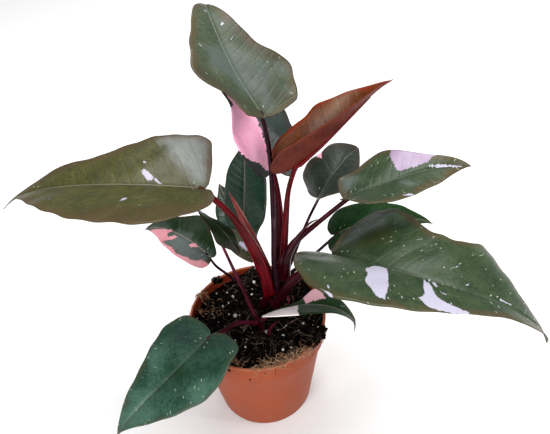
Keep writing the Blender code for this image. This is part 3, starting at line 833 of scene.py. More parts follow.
# %% [markdown]
# ## The colour of a leaf
# A leaf is dark, slightly mottled green with paler side veins, a reddish edge and tiny cream
# flecks. Where a patch is, the green is gone. The cuticle is glossy, with the fine grain of the
# cells under it, so roughness and bump come from noise.

# %% Patterns that follow the veins
PINK = (0.85, 0.34, 0.48)
LILAC = (0.30, 0.215, 0.32)
FLECK = (0.42, 0.44, 0.38)


def vein_line(vein, width):
    """1 along the middle of each vein. width is a share of the gap between two veins."""
    return abs((vein - 0.5).fract() - 0.5).step(width, 0.0)


def cream_flecks(finish, by_vein, fine, flecks):
    """Dashes along the veins, each in a cell of its own. flecks is how many cells have one."""
    place = {"Vector": finish.stretch(by_vein, (5.0, 0.20, 1.0)), "Scale": 1.0}
    to_centre = finish.add("ShaderNodeTexVoronoi", None, place)
    cell = finish.add("ShaderNodeTexVoronoi", None, place, 2)
    chance = finish.add("ShaderNodeTexWhiteNoise", None, {"Vector": cell})
    size = chance.step(1.0 - flecks * 0.40, 1.10 - flecks * 0.20) * 0.24
    return (size - to_centre - fine * 0.05).step(-0.03, 0.02)


print("pink:", PINK, "lilac:", LILAC, "cream:", FLECK)

# %% The upper side
def upper_side(
    name, deep, pale, edge_tone, pink=PINK, white=(0.415, 0.395, 0.485), flecks=0.5, gloss=0.32,
    edge_width=6.0, midrib=(0.20, 0.16, 0.14), midrib_share=0.55, shine=0.32, streaks=1.0,
    sheen=(0.150, 0.175, 0.175), relief=0.5, dark=None, light=None,
):
    """Green, then the bloom and its painted sheen, veins, reddish edge, flecks and patches."""
    finish = Finish(name)
    blade, vein, edge = finish.vector("blade"), finish.number("vein"), finish.number("edge")
    across = abs(finish.part(blade, 1))
    by_vein = finish.add("ShaderNodeCombineXYZ", None, {0: vein, 1: across})
    cloudy = finish.grain(blade, 0.055, 3.0)
    fine = finish.grain(blade, 0.9, 3.0)
    mottled = finish.grain(blade, 0.28, 6.0, 0.68)
    speckle = finish.grain(blade, 0.62, 5.0, 0.72)
    streaky = finish.grain(finish.stretch(by_vein, (3.0, 0.06, 1.0)), 1.0, 4.0, 0.6)
    on_vein = vein_line(vein, 0.09)
    uneven = (cloudy - 0.5) * 18.0 + (streaky - 0.5) * 10.0
    torn = (streaky - 0.5) * 7.0 + (fine - 0.5) * 1.6
    # The bloom patches, where the sheen colour goes on as a painted sheen.
    bloom_and_sheen_depth = finish.number("bloom") + (cloudy - 0.5) * 14.0 + (streaky - 0.5) * 12.0
    tinged = edge + cloudy * 16.0 - 8.0 + fine * 1.5
    lighter = (finish.number("light") + uneven).step(-8.0, 12.0)
    darker = (finish.number("dark") + uneven).step(-5.0, 6.0)
    in_pink = (finish.number("pink") + torn).step(-0.25, 0.25)
    in_white = (finish.number("white") + torn * 0.8).step(-0.25, 0.25)
    paler = tuple(0.10 + 0.90 * c for c in pink)
    whiter = tuple(min(1.0, 1.12 * c) for c in white)
    base = finish.paint(
        finish.mix(cloudy.step(0.22, 0.78), deep, pale),
        (mottled.step(0.54, 0.36) * 0.55, times(0.55, deep)),
        (streaky.step(0.52, 0.78) * (0.35 * streaks), times(1.6, pale)),
        (streaky.step(0.46, 0.24) * (0.40 * streaks), times(0.5, deep)),
        (bloom_and_sheen_depth.step(-6.0, 8.0) * 0.55, sheen),
        (lighter * 0.50, light or times(1.7, pale)),
        (speckle.step(0.52, 0.70) * 0.50, times(1.9, pale)),
        (speckle.step(0.48, 0.32) * 0.50, times(0.45, deep)),
        (on_vein * 0.05, times(2.2, pale)),
        (tinged.step(edge_width + 2.5, 0.0) * 0.75, edge_tone),
        (darker * 0.60, dark or times(0.5, deep)),
        (edge.step(1.0, 0.3) * 0.55, times(0.4, edge_tone)),
        (across.step(1.15, 0.45) * midrib_share, midrib),
        (cream_flecks(finish, by_vein, fine, flecks) * 0.80, FLECK),
        (in_pink, finish.mix(cloudy.step(0.38, 0.66), pink, paler)),
        (in_white, finish.mix(fine.step(0.4, 0.7) * 0.5, white, whiter)),
    )
    height = fine * 0.04 + streaky * 0.6 - on_vein * 0.5
    return finish.finish(
        Base_Color=base, Roughness=gloss + (fine - 0.5) * 0.10 + cloudy * 0.10,
        Normal=finish.bump(height, 0.0003, relief), Specular_IOR_Level=shine,
    )


print("the recipe for an upper side is ready")

# %% The upper sides of all the leaves
# sheen is the colour laid in the bloom patches, a painted sheen.
UPPER_SIDES = {
    "grey_green": dict(
        deep=(0.034, 0.050, 0.028), pale=(0.062, 0.080, 0.045), edge_tone=(0.080, 0.052, 0.024),
        edge_width=7.0, midrib=(0.150, 0.185, 0.140), shine=0.22, sheen=(0.100, 0.118, 0.118),
        dark=(0.034, 0.029, 0.014), light=(0.155, 0.160, 0.165),
    ),
    "two_green": dict(
        deep=(0.004, 0.014, 0.004), pale=(0.010, 0.026, 0.008), edge_tone=(0.030, 0.024, 0.012),
        pink=(0.55, 0.22, 0.25), edge_width=3.0, shine=0.08,
    ),
    "deep_green": dict(
        deep=(0.014, 0.034, 0.013), pale=(0.040, 0.064, 0.026), edge_tone=(0.075, 0.050, 0.020),
        pink=LILAC, flecks=0.8, shine=0.26, edge_width=8.0, midrib=(0.060, 0.060, 0.045),
        midrib_share=0.4, dark=(0.036, 0.042, 0.013), light=(0.105, 0.155, 0.110),
    ),
    "front_green": dict(
        deep=(0.004, 0.020, 0.004), pale=(0.014, 0.048, 0.012), edge_tone=(0.030, 0.040, 0.018),
        pink=(0.68, 0.36, 0.42), white=(0.92, 0.84, 0.85), flecks=0.8, edge_width=2.0, shine=0.07,
    ),
    "half_pink": dict(
        deep=(0.010, 0.020, 0.016), pale=(0.022, 0.038, 0.030), edge_tone=(0.030, 0.022, 0.020),
        pink=(0.95, 0.40, 0.58), midrib=(0.10, 0.03, 0.05),
    ),
    "night_green": dict(
        deep=(0.010, 0.018, 0.013), pale=(0.024, 0.034, 0.024), edge_tone=(0.040, 0.026, 0.018),
        midrib=(0.090, 0.080, 0.075), shine=0.2,
    ),
    "olive_green": dict(
        deep=(0.034, 0.038, 0.008), pale=(0.068, 0.064, 0.014), edge_tone=(0.085, 0.050, 0.022),
        pink=LILAC, edge_width=9.0, flecks=0.4, midrib=(0.230, 0.185, 0.165), shine=0.26,
        dark=(0.054, 0.035, 0.011), sheen=(0.34, 0.375, 0.375), streaks=1.5,
    ),
    "dark_olive": dict(
        deep=(0.006, 0.016, 0.006), pale=(0.014, 0.028, 0.010), edge_tone=(0.030, 0.024, 0.010),
        pink=LILAC, shine=0.15,
    ),
    "blue_green": dict(
        deep=(0.008, 0.036, 0.022), pale=(0.040, 0.100, 0.066), edge_tone=(0.050, 0.066, 0.038),
        flecks=1.0, edge_width=3.0, shine=0.20, streaks=0.4, midrib=(0.110, 0.130, 0.110),
        midrib_share=0.4, sheen=(0.022, 0.036, 0.038), dark=(0.008, 0.034, 0.008),
        light=(0.090, 0.185, 0.138),
    ),
    "back_green": dict(
        deep=(0.003, 0.016, 0.008), pale=(0.012, 0.044, 0.024), edge_tone=(0.024, 0.030, 0.016),
        edge_width=2.0, gloss=0.24, shine=0.22,
    ),
    "new_bronze": dict(
        deep=(0.080, 0.015, 0.001), pale=(0.130, 0.034, 0.002), edge_tone=(0.200, 0.024, 0.012),
        flecks=0.03, gloss=0.24, edge_width=2.0, midrib_share=0.0, shine=0.10, streaks=0.6,
        relief=0.15, sheen=(0.33, 0.235, 0.165),
    ),
}
upper = {name: upper_side(name + "_leaf", **look) for name, look in UPPER_SIDES.items()}
print("upper sides:", len(upper))

# %% The underside
def underside(name, deep, pale, pink, glow=0.0):
    """Matt and paler, with a wine-red tinge. glow lets light through a thin blade."""
    finish = Finish(name)
    blade = finish.vector("blade")
    cloudy = finish.grain(blade, 0.05, 3.0)
    fine = finish.grain(blade, 1.1, 3.0)
    on_vein = vein_line(finish.number("vein"), 0.12)
    torn = (fine - 0.5) * 4.0
    base = finish.paint(
        finish.mix(cloudy.step(0.35, 0.7), deep, pale),
        (on_vein * 0.12, times(1.8, pale)),
        ((finish.number("pink") + torn).step(-0.5, 0.5) * 0.85, pink),
        ((finish.number("white") + torn).step(-0.5, 0.5) * 0.85, (0.70, 0.60, 0.56)),
    )
    return finish.finish(
        Base_Color=base, Roughness=0.48 + fine * 0.1, Specular_IOR_Level=0.3,
        Normal=finish.bump(fine * 0.10 + on_vein * 0.8, 0.0003, 0.6),
        Subsurface_Weight=glow, Subsurface_Scale=0.002,
    )


UNDERSIDES = {
    "grey_green": ((0.060, 0.046, 0.036), (0.090, 0.070, 0.052), PINK),
    "two_green": ((0.060, 0.046, 0.036), (0.090, 0.070, 0.052), PINK),
    "dark_olive": ((0.040, 0.030, 0.022), (0.070, 0.050, 0.036), LILAC),
    "front_green": ((0.042, 0.034, 0.028), (0.070, 0.054, 0.040), LILAC),
    "back_green": ((0.024, 0.034, 0.026), (0.044, 0.054, 0.042), PINK),
    "deep_green": ((0.042, 0.034, 0.028), (0.070, 0.054, 0.040), LILAC),
    "half_pink": ((0.030, 0.034, 0.030), (0.050, 0.052, 0.044), (1.0, 0.46, 0.64), 0.6),
    "night_green": ((0.032, 0.024, 0.020), (0.055, 0.042, 0.034), PINK),
    "olive_green": ((0.085, 0.045, 0.032), (0.120, 0.070, 0.046), LILAC),
    "blue_green": ((0.038, 0.048, 0.042), (0.064, 0.074, 0.062), PINK),
    "new_bronze": ((0.070, 0.008, 0.004), (0.125, 0.020, 0.010), PINK),
}
under = {name: underside(name + "_underside", *look) for name, look in UNDERSIDES.items()}
print("undersides:", len(under))

# %% Make the fifteen blades
SLOTS = {
    "two_green": "grey_green", "dark_olive": "olive_green", "front_green": "dark_green",
    "back_green": "blue_green", "deep_green": "dark_green", "half_pink": "pink",
    "night_green": "dark_green", "new_bronze": "red_brown", "petiole_red": "stem_red",
    "petiole_rose": "petiole_dark", "petiole_crimson": "petiole_dark",
}
for leaf in LEAVES:
    slot, sides = SLOTS.get(leaf.finish, leaf.finish), (upper[leaf.finish], under[leaf.finish])
    thick_sheet(leaf.name + "_leaf", blade_mesh(leaf), slot, sides, (leaf.name,))


# %% [markdown]
# ## Petioles and stems
# A petiole is the stalk of a leaf. Low down it has a groove with two thin wings, where it once
# wrapped the next leaf, and higher up it is round and runs on as the midrib under the blade. Each
# is a tube of rings along a smooth route, with the groove made by pulling some points of the ring
# inwards and its shoulders outwards.

# %% The stalks' numbers
RING_SPACING = 1.8
RING_SIDES = 28
ROUTE_STEPS = 12


@dataclass
class Stalk:
    """A stem or petiole, in mm. on is the stalk that it grows from, and blade its leaf."""

    name: str
    finish: str
    route: tuple
    radii: tuple
    groove: float = 0.0
    blade: str = ""
    on: str = ""
    scars: tuple = ()


STALKS = (
    Stalk(
        "main_stem", "stem_red",
        ((7, 16, 75), (7, 16, 95), (7, 16, 102), (12, 15, 113), (18, 15, 126), (22, 16, 140)),
        (4.2, 4.2, 4.4, 4.6, 4.4, 3.0), scars=(29, 36, 44, 55),
    ),
    Stalk(
        "back_stem", "stem_red", ((20, 38, 76), (20, 38, 98), (20, 38, 112), (20, 38, 124)),
        (3.2, 3.2, 3.2, 2.4), scars=(30, 38),
    ),
    Stalk(
        "low_shoot", "stem_red", ((3, -9, 76), (3, -9, 96), (3, -9, 102), (4, -12, 113.5)),
        (3.0, 3.0, 3.0, 2.4), scars=(27, 33),
    ),
    Stalk(
        "young_shoot", "petiole_pink",
        ((9, -15, 82), (9, -15, 96), (9, -15, 99), (12, -13, 104), (18, -10, 108)),
        (1.8, 1.8, 1.8, 1.6, 0.7),
    ),
    Stalk(
        "petiole_top", "petiole_dark",
        ((19.2, 7.5, 130), (19.2, 8, 145), (19.5, 9, 165), (22, 11, 206), (24, 16, 267)),
        (2.7, 2.6, 2.3, 2.0, 1.8), 0.35, "blade_top", "main_stem",
    ),
    Stalk(
        "petiole_pink", "petiole_crimson",
        ((19, 23.2, 133), (23, 24.5, 150), (27, 28, 186), (27, 36, 222)),
        (3.6, 3.9, 3.6, 2.2), 0.35, "blade_pink", "main_stem",
    ),
    Stalk(
        "petiole_new", "petiole_red",
        ((22.6, 16.2, 142), (25, 17, 150), (28, 17.5, 162), (32, 16.5, 200), (36, 15, 232)),
        (3.4, 3.7, 3.5, 2.7, 2.0), 0.35, "blade_new_rolled", "main_stem",
    ),
    Stalk(
        "petiole_right_marbled", "stem_red",
        (
            (28.2, 12, 138), (28.5, 10.5, 150), (30, 10, 162), (34, 12, 171), (41, 15, 179),
            (60, 20, 192),
        ),
        (4.0, 4.4, 4.1, 3.6, 2.9, 2.0), 0.4, "blade_right_marbled", "main_stem",
    ),
    Stalk(
        "petiole_right_large", "stem_red",
        ((18, 6.5, 110), (24, 5, 124), (34, 2, 144), (50, -4, 166)),
        (4.2, 4.7, 4.2, 2.6), 0.4, "blade_right_large", "main_stem",
    ),
    Stalk(
        "petiole_left_large", "petiole_red",
        ((12.4, 7.4, 126), (10, 8, 152), (1, 6, 190), (-11, 3, 224)),
        (4.8, 5.5, 4.3, 2.5), 0.4, "blade_left_large", "main_stem",
    ),
    Stalk(
        "petiole_right_back", "petiole_dark",
        ((26, 38, 112), (33, 40, 124), (42, 49, 140), (53, 60, 159)),
        (1.9, 1.8, 1.5, 1.3), 0.3, "blade_right_back", "back_stem",
    ),
    Stalk(
        "petiole_right_hidden", "petiole_dark",
        ((26, 42, 104), (34, 44, 110), (47, 48, 117), (61, 54, 125)),
        (1.9, 1.8, 1.6, 1.4), 0.3, "blade_right_hidden", "back_stem",
    ),
    Stalk(
        "petiole_back_upright", "petiole_dark", ((14.6, 39.6, 119), (8, 41, 129), (0, 44, 145)),
        (1.9, 1.7, 1.5), 0.3, "blade_back_upright", "back_stem",
    ),
    Stalk(
        "petiole_back_left", "petiole_dark",
        ((15.4, 42.2, 108), (9, 49, 116), (1, 63, 115), (-4, 75, 114)),
        (1.9, 1.7, 1.6, 1.5), 0.3, "blade_back_left", "back_stem",
    ),
    Stalk(
        "petiole_left_small", "petiole_pink", ((15.4, 34.6, 117), (9, 31, 128), (4, 28.5, 140)),
        (1.8, 1.8, 1.6), 0.3, "blade_left_small", "back_stem",
    ),
    Stalk(
        "petiole_left_folded", "petiole_rose",
        ((0, -4, 103), (-4, 2, 112), (-9, 10, 127), (-14, 15, 142), (-20, 20, 163), (-27, 26, 187)),
        (2.0, 1.9, 1.7, 1.5, 1.3, 1.2), 0.3, "blade_left_folded", "low_shoot",
    ),
    Stalk(
        "petiole_left_pink_edge", "petiole_dark",
        ((-18, 49, 78), (-18, 49, 97), (-22, 48.5, 106), (-27, 47.5, 114), (-34, 46.5, 125)),
        (1.5, 1.5, 1.4, 1.3, 1.2), 0.0, "blade_left_pink_edge",
    ),
    Stalk(
        "petiole_front_left", "petiole_pink",
        ((-2.4, -12.6, 110.4), (-8, -15.5, 115.5), (-18, -21, 122), (-28, -30, 125)),
        (2.2, 2.0, 1.8, 1.6), 0.3, "blade_front_left", "low_shoot",
    ),
    Stalk(
        "petiole_front_right", "petiole_pink", ((6, -14, 115.6), (7.4, -14, 116.6)),
        (1.5, 1.4), 0.0, "blade_front_right", "low_shoot",
    ),
    Stalk(
        "aerial_root", "petiole_pink",
        ((29, -1.2, 125), (28, -4, 120), (23, -4, 112), (16, -1, 106)),
        (0.9, 0.8, 0.8, 0.5), on="petiole_right_large",
    ),
)
print("stalks:", len(STALKS))

# %% Lay each route into its parent and under its blade
SUNK_SHARE, FOOT_SIZE = 0.6, 0.9
RUN_START, RUN_SHARES = 6.0, (0.12, 0.3, 0.55, 0.8)
RUN_SIZES, THINNEST = (0.95, 0.85, 0.70, 0.50, 0.32, 0.18), 0.25


def named(things, name):
    return next(thing for thing in things if thing.name == name)


def full_route(stalk):
    """The stalk's route and radii, sunk into its parent and run on under the midrib."""
    route = [np.array(p, float) for p in stalk.route]
    radii = list(stalk.radii)
    if stalk.on:
        axis = smooth_line(named(STALKS, stalk.on).route, ROUTE_STEPS)
        nearest = axis[np.argmin(np.linalg.norm(axis - route[0], axis=1))]
        route.insert(0, route[0] + SUNK_SHARE * (nearest - route[0]))
        radii.insert(0, FOOT_SIZE * radii[0])
    if stalk.blade:
        leaf, top = named(LEAVES, stalk.blade), radii[-1]
        run = [0.3 * RUN_START, RUN_START] + [share * leaf.length for share in RUN_SHARES]
        for k, (distance, size) in enumerate(zip(run, RUN_SIZES)):
            place, _, _, up, _ = midrib_frames(leaf, np.array([distance]))
            radius = max(THINNEST, top * size)
            drop = radius + (0 if k == 0 else MIDRIB_DEPTH)
            route.append(place[0] - up[0] * drop)
            radii.append(radius)
    return route, radii


def ring_frames(route, radii):
    """The rings' centres, directions, sizes and places along the stalk."""
    line = smooth_line(route, ROUTE_STEPS)
    lengths = walked_along(line)
    count = max(8, int(round(lengths[-1] / RING_SPACING)) + 1)
    at = np.linspace(0, lengths[-1], count)
    centres = np.stack([np.interp(at, lengths, line[:, k]) for k in range(3)], -1)
    sizes = np.interp(at, lengths[::ROUTE_STEPS], radii)
    return centres, unit(np.gradient(centres, axis=0)), sizes, at


print("rings of the first stalk:", len(ring_frames(*full_route(STALKS[0]))[0]))

# %% The skin of a stalk
GROOVE_FADE, GROOVE_WIDTH = 1.15, 0.48
WING_HEIGHT, WING_AT, WING_WIDTH = 0.55, 0.86, 0.20
RIBS, RIB_DEPTH = 9, 0.012
SCAR_HEIGHT, SCAR_WIDTH = 0.10, 0.9


def stalk_mesh(stalk):
    """A tube with a groove, its two wings, fine ribs and leaf scars."""
    centres, ahead_of, sizes, at = ring_frames(*full_route(stalk))
    own_length = walked_along(smooth_line(stalk.route, ROUTE_STEPS))[-1]
    side = unit(np.cross(ahead_of[0], [0.3, 1.0, 0.1]))
    angles = 2 * math.pi * np.arange(RING_SIDES) / RING_SIDES
    away = np.minimum(angles, 2 * math.pi - angles)
    cos, sin = np.cos(angles)[:, None], np.sin(angles)[:, None]
    points, stripes, faces = [], [], []
    for centre, ahead, size, walked in zip(centres, ahead_of, sizes, at):
        side = unit(side - ahead * np.dot(side, ahead))
        up = np.cross(ahead, side)
        open_share = max(0.0, 1 - GROOVE_FADE * walked / own_length) * stalk.groove
        groove = open_share * np.exp(-((away / GROOVE_WIDTH) ** 2))
        wing = WING_HEIGHT * open_share * np.exp(-(((away - WING_AT) / WING_WIDTH) ** 2))
        ribs = RIB_DEPTH * np.sin(RIBS * angles + 0.03 * walked)
        past_scars = [(walked - scar) / SCAR_WIDTH for scar in stalk.scars]
        swell = sum(SCAR_HEIGHT * math.exp(-(past**2)) for past in past_scars)
        shape = size * (1 - groove + wing + ribs + swell)
        points.extend(centre + shape[:, None] * (cos * side + sin * up))
        stripes.extend([(walked, angle * size, walked / at[-1]) for angle in away])
    last = (len(centres) - 1) * RING_SIDES
    for low in range(0, last, RING_SIDES):
        high = low + RING_SIDES
        for j in range(RING_SIDES):
            after = (j + 1) % RING_SIDES
            faces.append((low + j, low + after, high + after, high + j))
    for centre, low, turn in ((centres[0], 0, -1), (centres[-1], last, 1)):
        middle = len(points)
        points.append(centre)
        stripes.append(stripes[low])
        for j in range(RING_SIDES):
            faces.append((low + j, low + (j + 1) % RING_SIDES, middle)[::turn])
    mesh = new_mesh(stalk.name + "_skin", points, [], faces)
    store(mesh, "stripe", "FLOAT_VECTOR", stripes)
    mesh.shade_smooth()
    return mesh


# %% [markdown]
# ## Petiole colours
# The stalks are wine red to almost black, with thin lengthwise streaks and lilac patches that are a
# bloom and a painted highlight together. The streaks come from noise that is stretched along the
# stalk.

# %% Stalk finishes, as dark tone, bright tone, bloom with painted highlight and its share
def stalk_finish(name, deep, bright, bloom, bloom_and_sheen_share):
    finish = Finish(name)
    stripe = finish.vector("stripe")
    streaks = finish.grain(finish.stretch(stripe, (0.05, 1.6, 1.0)), 1.0, 3.0)
    patches = finish.grain(finish.stretch(stripe, (0.04, 0.2, 1.0)), 1.0, 2.0)
    specks = finish.grain(finish.stretch(stripe, (0.7, 1.4, 1.0)), 1.0, 1.0)
    fine = finish.grain(finish.place(), 900.0, 2.0)
    away = finish.part(stripe, 1)
    base = finish.paint(
        finish.mix(streaks.step(0.35, 0.70), deep, bright),
        # Lilac patches: a bloom and a painted highlight.
        (patches.step(0.54, 0.70) * bloom_and_sheen_share, bloom),
        # The side away from the groove is painted darker, a painted shade.
        (away.step(3.0, 9.0) * 0.55, times(0.4, deep)),
        (specks.step(0.74, 0.78) * 0.35, (0.42, 0.20, 0.20)),
    )
    return finish.finish(
        Base_Color=base, Roughness=0.20 + streaks * 0.14, Specular_IOR_Level=0.11,
        Normal=finish.bump(streaks * 0.5 + fine * 0.15, 0.00025, 0.4),
    )


STALK_FINISHES = {
    "stem_red": ((0.011, 0.0005, 0.002), (0.062, 0.0015, 0.007), (0.085, 0.009, 0.026), 0.35),
    "petiole_red": ((0.034, 0.0006, 0.002), (0.145, 0.0015, 0.005), (0.100, 0.006, 0.012), 0.3),
    "petiole_dark": ((0.006, 0.0010, 0.003), (0.032, 0.003, 0.009), (0.140, 0.070, 0.110), 0.5),
    "petiole_crimson": ((0.022, 0.0006, 0.003), (0.095, 0.0012, 0.008), (0.110, 0.010, 0.030), 0.3),
    "petiole_rose": ((0.030, 0.002, 0.008), (0.120, 0.006, 0.026), (0.190, 0.050, 0.090), 0.4),
    "petiole_pink": ((0.026, 0.0015, 0.006), (0.100, 0.004, 0.018), (0.200, 0.040, 0.075), 0.5),
    "sheath_skin": ((0.150, 0.022, 0.020), (0.300, 0.070, 0.060), (0.450, 0.200, 0.160), 0.5),
}
stalk_finishes = {name: stalk_finish(name, *look) for name, look in STALK_FINISHES.items()}
print("stalk finishes:", len(stalk_finishes))

# %% Make the stalks
for stalk in STALKS:
    mesh = stalk_mesh(stalk)
    mesh.materials.append(stalk_finishes[stalk.finish])
    slot = SLOTS.get(stalk.finish, stalk.finish)
    add_piece(stalk.name + "_skin", mesh, slot, (stalk.name,))
print("stalks made:", len(STALKS))

# %% The free sheath strips on two petioles
for leaf, finish, slot, replaced in (
    (SHEATH, "sheath_skin", "petiole_pink", (SHEATH.name,)),
    (SMALL_SHEATH, "stem_red", "stem_red", ()),
):
    mesh = blade_mesh(leaf)
    flat = [tuple(value.vector) for value in mesh.attributes["blade"].data]
    store(mesh, "stripe", "FLOAT_VECTOR", flat)
    thick_sheet(leaf.name + "_strip", mesh, slot, (stalk_finishes[finish],), replaced)


# %% [markdown]
# ## The nursery pot
# The pot is thin injection-moulded plastic. Its wall is one outline, turned round the Z axis by a
# Screw modifier with enough steps to look round.

# %% Turn the pot
RIM_RADIUS, POT_HEIGHT, BASE_RADIUS = 60.0, 107.0, 42.0
COLLAR_HEIGHT, COLLAR_STEP, COLLAR_TAPER = 20.0, 2.6, 1.0
LIP_HEIGHT, LIP_DEPTH, WALL = 3.0, 0.8, 1.3
FLOOR_THICKNESS, BASE_ROUND = 2.0, 3.0
COLLAR_LOW, SKIRT_RADIUS = POT_HEIGHT - COLLAR_HEIGHT, RIM_RADIUS - COLLAR_TAPER
POT_TURNS = 160


def pot_radius(height):
    """The outer radius of the tapered body, below the collar."""
    top = SKIRT_RADIUS - COLLAR_STEP
    return BASE_RADIUS + (top - BASE_RADIUS) * height / COLLAR_LOW


def pot_outline():
    """The wall as (radius, height), from the middle of its floor up the inside and down outside."""
    low, lip = COLLAR_LOW, POT_HEIGHT - LIP_HEIGHT
    inner = RIM_RADIUS - LIP_DEPTH - WALL
    inside = [
        (0, FLOOR_THICKNESS), (BASE_RADIUS - BASE_ROUND, FLOOR_THICKNESS),
        (pot_radius(BASE_ROUND) - WALL, FLOOR_THICKNESS + BASE_ROUND * 0.6),
        (pot_radius(low / 2) - WALL, low / 2), (pot_radius(low - 1.2) - WALL, low - 1.2),
        (SKIRT_RADIUS - WALL, low + 1.4), (inner, lip), (inner, POT_HEIGHT - 0.3),
    ]
    outside = [
        (inner + 0.35, POT_HEIGHT), (RIM_RADIUS - 0.5, POT_HEIGHT),
        (RIM_RADIUS - 0.1, POT_HEIGHT - 0.25), (RIM_RADIUS, POT_HEIGHT - 0.7),
        (RIM_RADIUS, lip + 0.3), (RIM_RADIUS - 0.3, lip), (RIM_RADIUS - LIP_DEPTH, lip - 0.6),
        (SKIRT_RADIUS, low + 0.9), (SKIRT_RADIUS - 0.3, low + 0.2), (pot_radius(low) + 0.4, low),
        (pot_radius(low - 1.2), low - 1.2), (pot_radius(low / 2), low / 2),
        (pot_radius(BASE_ROUND), BASE_ROUND), (BASE_RADIUS - 0.3, 1.3), (BASE_RADIUS - 1.3, 0.35),
        (BASE_RADIUS - BASE_ROUND, 0), (0, 0),
    ]
    return inside + outside


outline = [(radius, 0, height) for radius, height in pot_outline()]
links = [(k, k + 1) for k in range(len(outline) - 1)]
wall = new_mesh("pot_shell", outline, links, [])
pot = add_piece("pot_shell", wall, "terracotta_plastic", ("pot",))
screw = pot.modifiers.new("turn", "SCREW")
screw.steps = screw.render_steps = POT_TURNS
screw.use_merge_vertices = True
screw.merge_threshold = SLIVER
apply_modifiers(pot)
print("pot faces:", len(pot.data.polygons))

# %% Drill the drain holes
DRAIN_HOLES, DRAIN_RADIUS, DRAIN_CIRCLE = 8, 4.0, 30.0
DRILL_SIDES, DRILL_LENGTH = 32, 12

for k in range(DRAIN_HOLES):
    angle = 2 * math.pi * (k + 0.5) / DRAIN_HOLES
    x, y = DRAIN_CIRCLE * math.cos(angle), DRAIN_CIRCLE * math.sin(angle)
    bpy.ops.mesh.primitive_cylinder_add(
        vertices=DRILL_SIDES, radius=DRAIN_RADIUS * MM, depth=DRILL_LENGTH * MM,
        location=(x * MM, y * MM, 0),
    )
    drill = bpy.context.object
    hole = pot.modifiers.new("hole", "BOOLEAN")
    hole.operation = "DIFFERENCE"
    hole.object = drill
    apply_modifiers(pot)
    bpy.data.objects.remove(drill)
print("drilled pot faces:", len(pot.data.polygons))

# %% [markdown]
# ## The pot's plastic
# Moulded terracotta-coloured plastic is a little cloudy, and it is scuffed where pots are stacked.
# It is painted darker under the collar and under the lip, a painted shade, and the top of the rim
# is painted paler, a painted highlight. The inside wall has a darker copy of the plastic, a painted
# shade.

# %% Moulded terracotta plastic
# The colour of the painted shade under the collar and under the lip.
PAINTED_SHADE = (0.110, 0.022, 0.010)
SHARP_EDGE = math.radians(32)
INNER_WALL = 0.035


def terracotta_plastic(name, first, second):
    finish = Finish(name)
    place = finish.place()
    cloudy = finish.grain(place, 18.0, 4.0)
    fine = finish.grain(place, 700.0, 3.0)
    scuffs = finish.grain(finish.stretch(place, (1.0, 1.0, 0.45)), 75.0, 4.0)
    specks = finish.grain(place, 140.0, 2.0)
    height = finish.part(place, 2) * (1 / MM)
    # Painted shade: darker bands just under the collar and just under the lip.
    shade_under_collar = abs(height - (COLLAR_LOW - 1.9)).step(1.7, 0.4)
    shade_under_lip = abs(height - (POT_HEIGHT - LIP_HEIGHT - 0.3)).step(0.7, 0.2)
    base = finish.paint(
        finish.mix(cloudy, first, second),
        (scuffs.step(0.60, 0.80) * 0.16, (0.46, 0.17, 0.09)),
        (scuffs.step(0.46, 0.26) * 0.30, (0.150, 0.030, 0.014)),
        (specks.step(0.70, 0.76) * 0.5, (0.12, 0.045, 0.025)),
        (shade_under_collar * 0.55, PAINTED_SHADE),
        # A painted highlight: the top of the rim is paler.
        (height.step(POT_HEIGHT - 1.8, POT_HEIGHT - 0.8) * 0.6, (0.460, 0.150, 0.070)),
        (shade_under_lip * 0.30, PAINTED_SHADE),
    )
    return finish.finish(
        Base_Color=base, Roughness=0.42 + scuffs * 0.2, Specular_IOR_Level=0.18,
        Normal=finish.bump(fine * 0.5 + scuffs * 0.08, 0.0002, 0.4),
    )


# The inside wall takes a darker copy of the plastic, a painted shade.
pot.data.materials.clear()
for name, first, second in (
    ("terracotta_outside", (0.240, 0.040, 0.009), (0.315, 0.060, 0.017)),
    ("terracotta_inside", (0.200, 0.022, 0.006), (0.260, 0.034, 0.010)),
):
    pot.data.materials.append(terracotta_plastic(name, first, second))
for face in pot.data.polygons:
    out = face.center.xy.length
    inwards = face.center.x * face.normal.x + face.center.y * face.normal.y < -0.5 * out
    face.material_index = 1 if inwards and out > INNER_WALL else 0
pot.data.shade_smooth()
pot.data.set_sharp_from_angle(angle=SHARP_EDGE)
print("pot finishes:", [finish.name for finish in pot.data.materials])

# %% [markdown]
# ## The potting mix
# The mix fills the pot and is heaped towards the back and the right. Its surface is a fine grid
# that follows the CAD mounds and adds crumbs by noise. Loose crumbs, bits of bark, white perlite
# and coir fibres go on top.

# %% The height of the soil
SOIL_LEVEL, SOIL_TILT = 97.0, 0.02
MOUNDS = (
    (4, 50, 16, 14), (42, 38, 6, 16), (52, -22, 9, 11), (26, -50, 6, 18), (-10, -56, 5, 15),
    (12, 20, 3, 16),
)
COARSE_CRUMB, FINE_CRUMB = (1.5, 5.0), (0.7, 1.3)


def soil_height(x, y):
    """The mounds, each as place, height and spread, and over them a few gentle waves."""
    height = SOIL_LEVEL + SOIL_TILT * x
    for at_x, at_y, tall, spread in MOUNDS:
        height = height + tall * math.exp(-((x - at_x) ** 2 + (y - at_y) ** 2) / spread**2)
    height += 0.9 * math.sin(0.29 * x + 1.3) * math.sin(0.33 * y + 0.4)
    height += 0.6 * math.sin(0.62 * x + 0.41 * y) + 0.5 * math.sin(0.74 * y - 0.53 * x + 2.0)
    return height


def crumbly(x, y):
    """How far the crumbs stand up here, from their heights and sizes in mm."""
    (tall, wide), (low, narrow) = COARSE_CRUMB, FINE_CRUMB
    coarse = noise.fractal(Vector((x, y, 3.0)) / wide, 1.0, 2.0, 3)
    return tall * coarse + low * noise.noise(Vector((x, y, 9.0)) / narrow)


